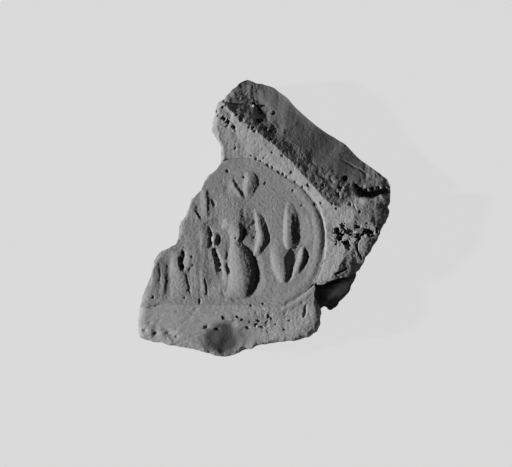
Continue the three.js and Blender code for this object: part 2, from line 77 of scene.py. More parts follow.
def from_pixels(places):
    """Photograph pixels to millimetres: x minus the middle, middle minus y, over the scale."""
    places = np.asarray(places, dtype=float)
    out = places.copy()
    out[..., 0] = (places[..., 0] - PLAN_MIDDLE[0]) / PIXELS_PER_MM
    out[..., 1] = (PLAN_MIDDLE[1] - places[..., 1]) / PIXELS_PER_MM
    return out


def to_pixels(x, y):
    """Millimetres back to photograph pixels."""
    return x * PIXELS_PER_MM + PLAN_MIDDLE[0], PLAN_MIDDLE[1] - y * PIXELS_PER_MM


def px(length):
    """A length in pixels as millimetres."""
    return length / PIXELS_PER_MM


def put(name, data):
    """A new object in the scene."""
    made = bpy.data.objects.new(name, data)
    bpy.context.collection.objects.link(made)
    return made


# %% [markdown]
# ## Camera
# The photograph looks straight down on the seal from far away. A long lens well above the
# fragment gives the same view. Its height follows from the sensor, the lens and the width that
# the picture spans at the level of the seal's face.

# %% Camera
SENSOR_WIDTH = 36.0
LENS = 200.0

picture_width = IMAGE_SIZE[0] / PIXELS_PER_MM
camera_height = LENS / SENSOR_WIDTH * picture_width + FACE_HEIGHT
picture_middle = from_pixels([IMAGE_SIZE[0] / 2, IMAGE_SIZE[1] / 2])

camera_data = bpy.data.cameras.new("copy_stand_camera")
camera_data.lens = LENS
camera_data.sensor_width = SENSOR_WIDTH
camera_data.clip_start = 0.01
camera_data.clip_end = 10.0
camera = put("copy_stand_camera", camera_data)
camera.location = (picture_middle[0] * MM, picture_middle[1] * MM, camera_height * MM)
bpy.context.scene.camera = camera
print("camera", round(camera_height, 1), "mm above the table")

# %% [markdown]
# ## Noise and small marks
# Clay is full of grain, pores and worn edges. Three tools make them all: gradient noise, which
# adds soft bumps of one size; pores, small pits on a jittered lattice; and ridges, which follow a
# drawn path with a gentle side to the west and a steep one to the east, as worn relief shows
# under a low lamp.


# %% Noise
def fade(t):
    """Smooth step without kinks: six t to the fifth, less fifteen t to the fourth, plus ten t cubed."""
    return t * t * t * (t * (t * 6 - 15) + 10)


def smooth_step(low, high, value):
    """Rises from 0 at low to 1 at high along three t squared less two t cubed."""
    t = np.clip((value - low) / (high - low), 0, 1)
    return t * t * (3 - 2 * t)


NOISE_SIDE = 128
NOISE_SHIFT = (31.7, 17.3)
NOISE_GAIN = 1.5
HOLLOW_FADE = 0.4
# Reach and width in millimetres of the bends that clay gives to a drawn line
BENDS = [(0.2, 1.7), (0.1, 0.7), (0.045, 0.32)]


def soft_noise(x, y, size, seed):
    """Gradient noise, about -1 to 1: each lattice corner has a slope, and the four slopes round a
    point are mixed with faded weights. Size is the width of one bump in millimetres."""
    angle = np.random.default_rng(seed).random((NOISE_SIDE, NOISE_SIDE)) * 2 * np.pi
    u, v = x / size + NOISE_SHIFT[0], y / size + NOISE_SHIFT[1]
    i, j = np.floor(u).astype(int), np.floor(v).astype(int)
    f, g = u - i, v - j

    def corner(di, dj):
        turn = angle[(i + di) % NOISE_SIDE, (j + dj) % NOISE_SIDE]
        return np.cos(turn) * (f - di) + np.sin(turn) * (g - dj)

    a, b = fade(f), fade(g)
    low = corner(0, 0) * (1 - a) + corner(1, 0) * a
    high = corner(0, 1) * (1 - a) + corner(1, 1) * a
    return (low * (1 - b) + high * b) * NOISE_GAIN


def rough_noise(x, y, size, seed, layers=3):
    """Layers of soft noise, each half the size and half the height of the one before."""
    total = 0.0
    for layer in range(layers):
        total = total + soft_noise(x, y, size / 2**layer, seed + layer) / 2**layer
    return total


def pores(x, y, cell, chance, smallest, largest, seed):
    """Depth of small round pits, 0 to 1. Each lattice cell may hold one pit at a random place;
    its depth falls off as one less the squared distance over the squared radius."""
    rng = np.random.default_rng(seed)
    shape = (NOISE_SIDE, NOISE_SIDE)
    at_x, at_y = rng.random(shape), rng.random(shape)
    radius = smallest + (largest - smallest) * rng.random(shape) ** 2
    present = rng.random(shape) < chance
    i, j = np.floor(x / cell).astype(int), np.floor(y / cell).astype(int)
    depth = np.zeros_like(x)
    for di in (-1, 0, 1):
        for dj in (-1, 0, 1):
            a, b = (i + di) % NOISE_SIDE, (j + dj) % NOISE_SIDE
            far = np.hypot(x - (i + di + at_x[a, b]) * cell, y - (j + dj + at_y[a, b]) * cell)
            here = np.clip(1 - (far / radius[a, b]) ** 2, 0, 1) * present[a, b]
            depth = np.maximum(depth, here * (radius[a, b] / largest))
    return depth


def hollows(x, y, size, level, seed):
    """Ragged hollows, 0 to 1: where rough noise rises above a level."""
    return smooth_step(level, level + HOLLOW_FADE, rough_noise(x, y, size, seed))


def bend(x, y, seed, amount=1.0):
    """Each point moved a little by noise, so that what is drawn there runs unevenly, like a crest
    or a break in clay."""
    moved = []
    for axis, at in enumerate((x, y)):
        for layer, (reach, size) in enumerate(BENDS):
            at = at + amount * reach * soft_noise(x, y, size, seed + 10 * axis + layer)
        moved.append(at)
    return moved


print("noise sample", np.round(soft_noise(np.array([0.1, 0.9]), np.array([0.2, 0.7]), 1.0, 3), 3))


# %% Paths
TINY = 1e-12
PATH_STEPS = 4
SIDE_BLEND = 0.6


def around(curve, steps=6, closed=True):
    """More points along a curve, with its corners rounded: on each stretch a cubic whose slope at
    a point is half the step between its neighbours. An open curve keeps its ends."""
    points = np.asarray(curve, dtype=float)
    if not closed:
        points = np.vstack([2 * points[0] - points[1], points, 2 * points[-1] - points[-2]])
    slope = (np.roll(points, -1, axis=0) - np.roll(points, 1, axis=0)) / 2
    t = (np.arange(steps) / steps)[None, :, None]
    a, b = points[:, None, :], np.roll(points, -1, axis=0)[:, None, :]
    p, q = slope[:, None, :], np.roll(slope, -1, axis=0)[:, None, :]
    t2, t3 = t * t, t * t * t
    spline = (2 * t3 - 3 * t2 + 1) * a + (t3 - 2 * t2 + t) * p
    spline = spline + (3 * t2 - 2 * t3) * b + (t3 - t2) * q
    if closed:
        return spline.reshape(-1, points.shape[1])
    return np.vstack([spline[1:-2].reshape(-1, points.shape[1]), points[-2:-1]])


def near_path(x, y, path):
    """Distance to a path, the side (-1 is west of it, 1 east), and the height written on it. Each
    stretch gives the foot of the perpendicular, held between its ends."""
    best = np.full(x.shape, np.inf)
    side = np.zeros_like(best)
    height = np.zeros_like(best)
    for (x0, y0, h0), (x1, y1, h1) in zip(path[:-1], path[1:]):
        dx, dy = x1 - x0, y1 - y0
        t = np.clip(((x - x0) * dx + (y - y0) * dy) / (dx * dx + dy * dy + TINY), 0, 1)
        nx, ny = x0 + dx * t, y0 + dy * t
        far = np.hypot(x - nx, y - ny)
        closer = far < best
        best = np.where(closer, far, best)
        side = np.where(closer, (x - nx) / np.maximum(far, TINY), side)
        height = np.where(closer, h0 + (h1 - h0) * t, height)
    return best, side, height


def side_width(side, west, east):
    """Width of a path's side in millimetres, going over smoothly from west to east."""
    return px(west + (east - west) * smooth_step(-SIDE_BLEND, SIDE_BLEND, side))


def ridge(x, y, path, west, east, sharp):
    """A ridge along a path of pixels with heights in millimetres: the height times one less the
    squared share of the way to its foot, to the power sharp. West and east are the pixels from
    the crest to the foot on each side. Written below zero, the height makes a trench."""
    path = from_pixels(around(path, PATH_STEPS, False))
    reach = px(max(west, east))
    low, high = path.min(axis=0) - reach, path.max(axis=0) + reach
    near = (x > low[0]) & (x < high[0]) & (y > low[1]) & (y < high[1])
    out = np.zeros_like(x)
    if near.any():
        far, side, height = near_path(x[near], y[near], path)
        share = far / side_width(side, west, east)
        out[near] = height * np.clip(1 - share**2, 0, 1) ** sharp
    return out


def ridges(x, y, table):
    """The ridges and trenches of a table, added up."""
    out = np.zeros_like(x)
    for west, east, sharp, path in table.values():
        out = out + ridge(x, y, path, west, east, sharp)
    return out


def inside_share(x, y, polygon, soft):
    """How far inside a closed plan a point lies: 0 on its edge or beyond, 1 from soft millimetres
    in. A point is inside if a line from it to the right crosses the edge an odd number of times."""
    points = from_pixels(polygon)
    crossings = np.zeros(x.shape, int)
    far = np.full(x.shape, np.inf)
    for (x0, y0), (x1, y1) in zip(points, np.roll(points, -1, axis=0)):
        spans = (y0 > y) != (y1 > y)
        at = x0 + (y - y0) * (x1 - x0) / (y1 - y0 if y1 != y0 else TINY)
        crossings = crossings + (spans & (x < at))
        dx, dy = x1 - x0, y1 - y0
        t = np.clip(((x - x0) * dx + (y - y0) * dy) / (dx * dx + dy * dy), 0, 1)
        far = np.minimum(far, np.hypot(x - x0 - dx * t, y - y0 - dy * t))
    return np.where(crossings % 2 == 1, smooth_step(0, soft, far), 0)


def zone(x, y, spots):
    """A soft mask, 0 to 1, round spots of pixels with a radius in pixels: each fades out from
    half its radius to the whole of it."""
    mask = np.zeros_like(x)
    for at_x, at_y, radius in spots:
        middle = from_pixels([at_x, at_y])
        far = np.hypot(x - middle[0], y - middle[1])
        mask = np.maximum(mask, 1 - smooth_step(px(radius) * 0.5, px(radius), far))
    return mask


# %% [markdown]
# ## The lump without its details
# The fragment's outline, the border of the seal and the crest of clay round it are closed curves.
# Seen from a hub inside them, each direction meets the border, then the crest, then the outline,
# so the height along a spoke goes from the pressed field up the collar and down the shoulder.

# %% Outline, border and crest
HUB = from_pixels([275, 225])
SEAL_MIDDLE = from_pixels([233, 239])

# All points are x and y in the photograph's pixels
OUTLINE = [
    (246, 80), (258, 83), (271, 86), (280, 92), (288, 98), (293, 104), (299, 110), (312, 121.5),
    (320, 127.5), (329, 133.5), (339, 139.5), (348, 145.5), (360, 158), (376, 169.5), (384, 175.5),
    (390, 181.5), (392, 188), (391.5, 195), (390.5, 201), (388.5, 207), (389.5, 212), (388, 218),
    (385, 224), (380.5, 230), (379, 236.5), (372, 248.5), (364, 261), (360.5, 269), (356.5, 279),
    (353, 285), (350.5, 291), (346, 297), (340, 303), (335, 309.5), (329.5, 310.5), (325.5, 306.5),
    (322, 310), (321, 317), (320, 327), (315.5, 333.5), (303, 339.3), (285, 342), (262, 345.2),
    (252, 349), (244, 350.5), (237, 354), (228, 357), (215, 356), (193, 350), (167, 344.5),
    (144, 340), (138, 334), (137.5, 326), (138, 316), (140.5, 306), (144, 292), (149, 282),
    (152.5, 270), (154.5, 260), (159, 253), (169, 248), (177, 241.5), (179, 230), (181.5, 222),
    (185.5, 217), (189, 207), (192, 200), (198.5, 193), (203, 185), (207, 177), (214, 171.5),
    (220, 164.5), (221, 156), (221, 147), (217.5, 140), (213, 134), (212, 127), (214, 118),
    (216, 110), (218.5, 104), (226, 96.5), (233.5, 89.5), (240, 83.5),
]

# After x and y: the height of the outline's edge, how much of the fall from the crest is a slope,
# and the slope's bend. Above 1 it is steep at first and then flattens, below 1 the other way
EDGES = [
    (233, 89, 8.4, 1, 1), (246, 80, 7.4, 1, 1), (271, 86, 6.6, 1, 1), (293, 104, 6.65, 1, 1.15),
    (312, 122, 6.25, 1, 1.2), (320, 128, 5.95, 1, 1.15), (339, 140, 5.15, 1, 1.05),
    (360, 158, 4.75, 1, 1), (375, 170, 4.6, 1, 1), (388, 182, 4.7, 1, 1), (391, 188, 5.1, 0.9, 0.95),
    (391, 193, 6.2, 0.6, 0.8), (390, 198, 6.9, 0.5, 0.7), (388, 207, 7.1, 0.7, 0.7),
    (384, 224, 7.1, 0.7, 0.7), (371, 248, 7.4, 0.7, 0.9), (357, 270, 6.9, 0.6, 0.9),
    (345, 296, 5.2, 0.3, 1), (329, 309, 5, 0.3, 1), (320, 312, 6.2, 0.3, 1), (314, 332, 6.2, 0.3, 1),
    (285, 341, 6.3, 0.3, 1), (262, 344, 6, 0.3, 1), (228, 357, 5.4, 0.4, 1), (193, 350, 6.4, 0.3, 1),
    (144, 339, 6.8, 0.3, 1), (138, 326, 7, 0.3, 1), (145, 292, 7.2, 0.2, 1), (154, 260, 7.4, 0.2, 1),
    (176, 241, 7.5, 0.2, 1), (188, 207, 7.5, 0.2, 1), (206, 176, 7.6, 0.2, 1),
    (221, 156, 7.9, 0.3, 1), (214, 134, 8.6, 0.3, 1), (218, 104, 8.9, 0.5, 1.2),
]

# After x and y: the crest's height
CREST = [
    (230, 110, 9.85), (243, 122, 9.6), (260, 134, 9.3), (271, 143, 9), (281, 152, 8.75),
    (293, 164, 8.5), (306, 179, 8.45), (316, 189, 8.5), (325, 200, 8.6), (335, 206, 8.6),
    (350, 209, 8.57), (353, 218, 8.55), (348, 232, 8.55), (345, 246, 8.5), (341, 262, 8.4),
    (332, 276, 8.3), (318, 284, 8.1), (314.5, 299, 7.9), (313, 318, 7.8), (297, 330, 7.55),
    (262, 334, 7.15), (231, 340, 7.05), (213, 345, 7.35), (188, 342, 7.6), (153, 333, 7.7),
    (144, 323, 7.8), (147, 304, 8), (151, 285, 8), (156, 266, 8), (163, 253, 8), (179, 240, 8),
    (185, 222, 8), (191, 206, 8), (201, 190, 8), (210, 175, 8.1), (221, 164, 8.2), (225, 153, 8.4),
    (219, 138, 8.9), (217, 124, 9.3), (219, 112, 9.7), (224, 104, 9.9),
]

BORDER = [
    (196, 170), (219, 161), (232, 158.5), (245, 158), (252, 158.7), (258, 160.5), (264, 163),
    (270, 166), (276, 169.5), (283, 173.8), (289, 178), (295, 182), (301, 186.5), (306, 191),
    (311, 196.5), (315, 203), (318, 209), (320.5, 215), (322.3, 222), (323.4, 230), (323.9, 240),
    (323.6, 250), (322.5, 259), (320.5, 267), (317.5, 275.5), (313.5, 282.5), (307, 290), (299, 297),
    (290, 303), (282.3, 306.5),
]
BORDER_REST = [
    (270, 311.5), (253, 316), (233, 318.5), (210, 316.5), (188, 309), (166, 294), (150, 274),
    (140, 239), (150, 203), (172, 180),
]


def seen_from(hub, x, y):
    """Turn and distance of a place, seen from a hub."""
    return np.arctan2(y - hub[1], x - hub[0]), np.hypot(x - hub[0], y - hub[1])


def on_spokes(curve, hub):
    """A closed curve as a table of turn, distance from the hub, and whatever else it has."""
    turned, far = seen_from(hub, curve[:, 0], curve[:, 1])
    table = np.column_stack([turned, far, curve[:, 2:]])
    table = table[np.argsort(table[:, 0])]
    whole = np.zeros(table.shape[1])
    whole[0] = 2 * np.pi
    return np.vstack([table[-1] - whole, table, table[0] + whole])


def read_off(spokes, turn, column=1):
    """A column of a table of spokes at each turn, by default the distance."""
    return np.interp(turn, spokes[:, 0], spokes[:, column])


# Height and width of the outline's notches, where the roll's smooth side begins, from nothing to
# the whole, and how much of the notches it loses
NOTCH_HEIGHT = 0.11
NOTCH_WIDTH = 0.9
SMOOTH_FROM_X = (-2, 2)
SMOOTH_FROM_Y = (4, 7)
SMOOTH_LOSS = 0.8


def crumbled(curve, seed):
    """A closed curve with small notches and bumps across it. The roll's outer side, at the upper
    right, was smoothed by fingers and keeps a fifth of them."""
    along = np.roll(curve, -1, axis=0) - np.roll(curve, 1, axis=0)
    length = np.cumsum(np.hypot(along[:, 0], along[:, 1])) / 2
    away = np.column_stack([along[:, 1], -along[:, 0]])
    away = away / np.hypot(along[:, 0], along[:, 1])[:, None]
    smooth = smooth_step(*SMOOTH_FROM_X, curve[:, 0]) * smooth_step(*SMOOTH_FROM_Y, curve[:, 1])
    notch = rough_noise(length, 0 * length, NOTCH_WIDTH, seed) * NOTCH_HEIGHT
    notch = notch * (1 - SMOOTH_LOSS * smooth)
    return curve + away * notch[:, None]


outline = crumbled(from_pixels(around(OUTLINE, 10)), 331)
outline_spokes = on_spokes(outline, HUB)
edge_spokes = on_spokes(from_pixels(around(EDGES)), HUB)
crest_spokes = on_spokes(from_pixels(around(CREST)), HUB)
border_loop = from_pixels(around(BORDER + BORDER_REST))
border_spokes = on_spokes(border_loop, HUB)
seal_spokes = on_spokes(border_loop, SEAL_MIDDLE)
print("outline points", len(outline), "crest points", len(crest_spokes))


# %% [markdown]
# ## The seal's field
# The seal was an oval with a border. Its pressed field is a shallow dish, 8 mm above the back. A
# raised band runs inside the border and a groove along it. The groove is sharp at the right, a
# row of pores at the top, and a soft double line at the lower right.

# %% Seal field
FIELD_DISH = 0.25

# Pixels to the foot on the west and on the east, sharpness, and a path of x, y and height
BORDER_LINES = {
    "band": (5, 4, 1.5, [
        (287, 181, 0.02), (300, 192, 0.06), (309, 203, 0.09), (315, 215, 0.12), (318, 228, 0.13),
        (318.5, 242, 0.13), (317.5, 254, 0.12), (315, 265, 0.1), (311, 276, 0.09), (303, 286, 0.07),
        (292, 296, 0.05), (276, 304, 0.02)]),
    "groove": (2.2, 2.2, 1.2, [
        (264, 163, -0.05), (283, 173.8, -0.06), (295, 182, -0.1), (306, 191, -0.1),
        (315.5, 203, -0.12), (321, 215, -0.24), (323.8, 226, -0.34), (324.4, 240, -0.36),
        (324, 252, -0.22), (322, 263, -0.12), (318, 275.5, -0.07), (311, 286, -0.06),
        (299, 297, -0.08), (286, 304.5, -0.08)]),
    "outer line east": (3.5, 3.5, 1.5, [
        (312, 291, 0.04), (303, 299, 0.09), (290, 307, 0.09), (276, 312, 0.04)]),
    "outer line west": (3.5, 3.5, 1.5, [
        (239, 314, 0.03), (248, 312, 0.08), (262, 310, 0.07), (276, 306, 0.03)]),
}


def border_share(x, y):
    """Where a point lies on the seal: 0 in its middle and 1 on the border."""
    turn, far = seen_from(SEAL_MIDDLE, x, y)
    return far / read_off(seal_spokes, turn)


# %% [markdown]
# ## The figures
# What the seal carved away stands up in the clay: a robed figure in the middle, a round fruit
# above it, fronds at the left and a rod over a vessel at the right. All are worn soft. The lamp is
# low and on the left, so each form is drawn as the photograph shows it, row by row down the
# picture: where its lit side begins, its crest, where its dark side ends, and its height there.

# %% Figures
# How blunt the left and the right side are, and rows of y, left foot, crest, right foot, height
RAISED = {
    "robe": (1.1, 0.9, [
        (240, 231, 234.5, 241, 0.16), (245, 229.5, 236.5, 244.5, 0.4),
        (250, 228.5, 238, 248.5, 0.56), (257, 227.5, 239.5, 252.5, 0.7),
        (265, 227.5, 240.5, 255, 0.78), (273, 227.5, 241.5, 256, 0.8),
        (281, 226.5, 242.5, 256, 0.76), (288, 225, 242.5, 254.5, 0.64),
        (294, 223, 242.5, 251.5, 0.44), (299, 223, 242, 248, 0.08)]),
    "torso": (1.2, 0.7, [
        (219, 227, 235, 241, 0.05), (225, 227, 236.5, 242, 0.3), (231, 228, 238.5, 243, 0.45),
        (236, 229, 239, 243.5, 0.5), (241, 230, 237.5, 241, 0.4), (244, 231, 236, 240, 0.2)]),
    "chest": (1.6, 1.5, [
        (188, 221, 232, 244, 0.02), (198, 218, 234, 248, 0.1), (208, 216, 235, 252, 0.18),
        (216, 216, 235, 252, 0.2), (224, 218, 235, 248, 0.16), (230, 224, 235, 244, 0.04)]),
    "neck line": (1.2, 1, [
        (205, 235.5, 237, 238.5, 0.02), (210, 235, 237.2, 239, 0.08), (216, 235, 237.4, 239, 0.02)]),
    "field swell": (1.6, 1.6, [
        (196, 262, 272, 286, 0.03), (214, 264, 276, 290, 0.07), (236, 264, 276, 290, 0.07),
        (256, 262, 272, 284, 0.03)]),
    "waist side": (1.6, 1.6, [
        (240, 205, 222, 229, 0.03), (255, 206, 224, 232, 0.14), (272, 212, 226, 234, 0.12),
        (288, 210, 225, 232, 0.14), (300, 206, 220, 228, 0.03)]),
    "fruit": (1.1, 0.75, [
        (171, 247, 249, 252.5, 0.05), (176, 244.5, 250, 256.5, 0.3), (182, 243, 249.4, 258, 0.44),
        (188, 243, 248, 257, 0.38), (193, 244, 247.4, 254, 0.24), (198, 246, 248, 251, 0.04)]),
    "leaf": (1.4, 0.8, [
        (178, 227, 231.5, 234, 0.04), (184, 229, 233.6, 236.5, 0.16), (190, 232, 238, 241.6, 0.22),
        (196, 236, 241.4, 244.8, 0.22), (200, 240, 243, 245.5, 0.04)]),
    "leaf bead": (1.2, 1.2, [
        (186, 233.5, 235.5, 237.5, 0.02), (192, 233, 236, 238.5, 0.12), (197, 233.5, 236, 238, 0.02)]),
    "blade": (1.1, 0.75, [
        (213, 254.5, 256.4, 260, 0.06), (220, 254.5, 258.2, 265, 0.26),
        (228, 255.5, 260, 267.5, 0.42), (236, 256.5, 261.6, 269.5, 0.5),
        (243, 256, 260.4, 269, 0.48), (250, 254, 257.2, 264, 0.32), (257, 252, 254.4, 258, 0.04)]),
    "rod": (1.3, 0.9, [
        (202, 286, 288, 292, 0.03), (209, 285, 288, 296, 0.18), (217, 284, 287.8, 298.5, 0.4),
        (227, 283, 287.8, 299.8, 0.5), (237, 282.5, 287.6, 299.6, 0.52),
        (245, 283, 287.6, 299, 0.46), (250, 286, 289, 296, 0.22)]),
    "rod foot": (1, 1, [
        (243, 299, 300.5, 302, 0.04), (247, 295, 299, 302, 0.16), (249.5, 293, 296, 300, 0.1),
        (251, 292, 294, 297, 0.02)]),
    "vessel": (1.2, 0.9, [
        (236, 273, 278, 285, 0.03), (246, 271, 277.5, 291, 0.18), (254, 270.5, 278, 292, 0.32),
        (262, 271, 280, 290.5, 0.4), (270, 273, 282, 290, 0.38), (277, 277, 283, 289, 0.28),
        (284, 281, 284, 287.5, 0.05)]),
    "handle": (1.2, 0.8, [
        (246.5, 302, 303, 304.5, 0.05), (251, 300, 302.6, 306, 0.3), (256, 298, 302, 306.5, 0.38),
        (262, 296, 300.4, 304.8, 0.36), (268, 293.5, 298.2, 302.8, 0.3),
        (275, 291.5, 295, 298.5, 0.05)]),
    "frond": (1.4, 1, [
        (188, 202, 204.6, 208, 0.05), (194, 200.5, 205.4, 210.5, 0.18),
        (202, 200.5, 206.4, 212, 0.22), (210, 200.5, 206.8, 212, 0.2), (218, 201.5, 206.8, 211, 0.05)]),
    "frond line": (1.2, 1.2, [
        (189, 201.5, 203.5, 205, 0.02), (194, 201.5, 203.8, 206, 0.1),
        (206, 202.5, 205.4, 207.5, 0.08), (216, 203, 205.4, 207.5, 0.02)]),
    "side frond": (1.6, 0.9, [
        (203, 188, 192, 195.5, 0.04), (210, 186, 194.6, 196.5, 0.14), (216, 187, 198.2, 200, 0.16),
        (221, 190, 201.4, 203, 0.04)]),
    "trunk": (1.4, 1.3, [
        (226, 199, 202.5, 208, 0.04), (240, 199, 203, 209, 0.14), (256, 198.5, 202, 209, 0.08),
        (272, 199, 202.5, 208, 0.1), (286, 199.5, 203.6, 208, 0.14), (297, 201, 204.2, 207, 0.04)]),
    "shoulder": (1.6, 1.6, [
        (236, 183, 193, 199, 0.03), (246, 182, 195, 204, 0.1), (262, 186, 196, 204, 0.12),
        (284, 188, 196, 203, 0.08), (298, 190, 196, 201, 0.02)]),
    "grain seat": (1.2, 1, [
        (232, 212, 215, 218, 0.05), (240, 211, 214.5, 217.6, 0.3), (248, 209, 212.5, 216, 0.06)]),
    "strip": (1.6, 1.4, [
        (252, 172, 177, 182, 0.05), (264, 172, 179, 186, 0.22), (276, 172, 181, 190, 0.24),
        (288, 172, 183, 192, 0.2), (300, 172, 181, 188, 0.05)]),
    "small strip": (1, 1.2, [
        (272, 160.5, 163, 165, 0.02), (278, 160.5, 163.4, 166, 0.08),
        (286, 160.5, 163.8, 166.5, 0.08), (296, 161, 163.6, 166.5, 0.03)]),
    "edge strip": (1.6, 1.4, [
        (262, 149, 154, 163, 0.05), (272, 148, 154, 164, 0.1), (284, 147, 153, 161, 0.1),
        (298, 144, 152, 158, 0.02)]),
    "pit rim": (0.9, 1.2, [
        (253, 187, 190, 193, 0.04), (258, 185.5, 190, 193.5, 0.12), (264, 185, 189.5, 194, 0.16),
        (269, 182.5, 186.5, 191, 0.2), (274, 181, 185, 190, 0.05)]),
    "hem": (1.2, 1.2, [
        (288, 219, 222, 225, 0.02), (293, 221, 225, 229, 0.12), (298, 224, 228, 232, 0.1),
        (303, 227, 230, 233, 0.02)]),
}

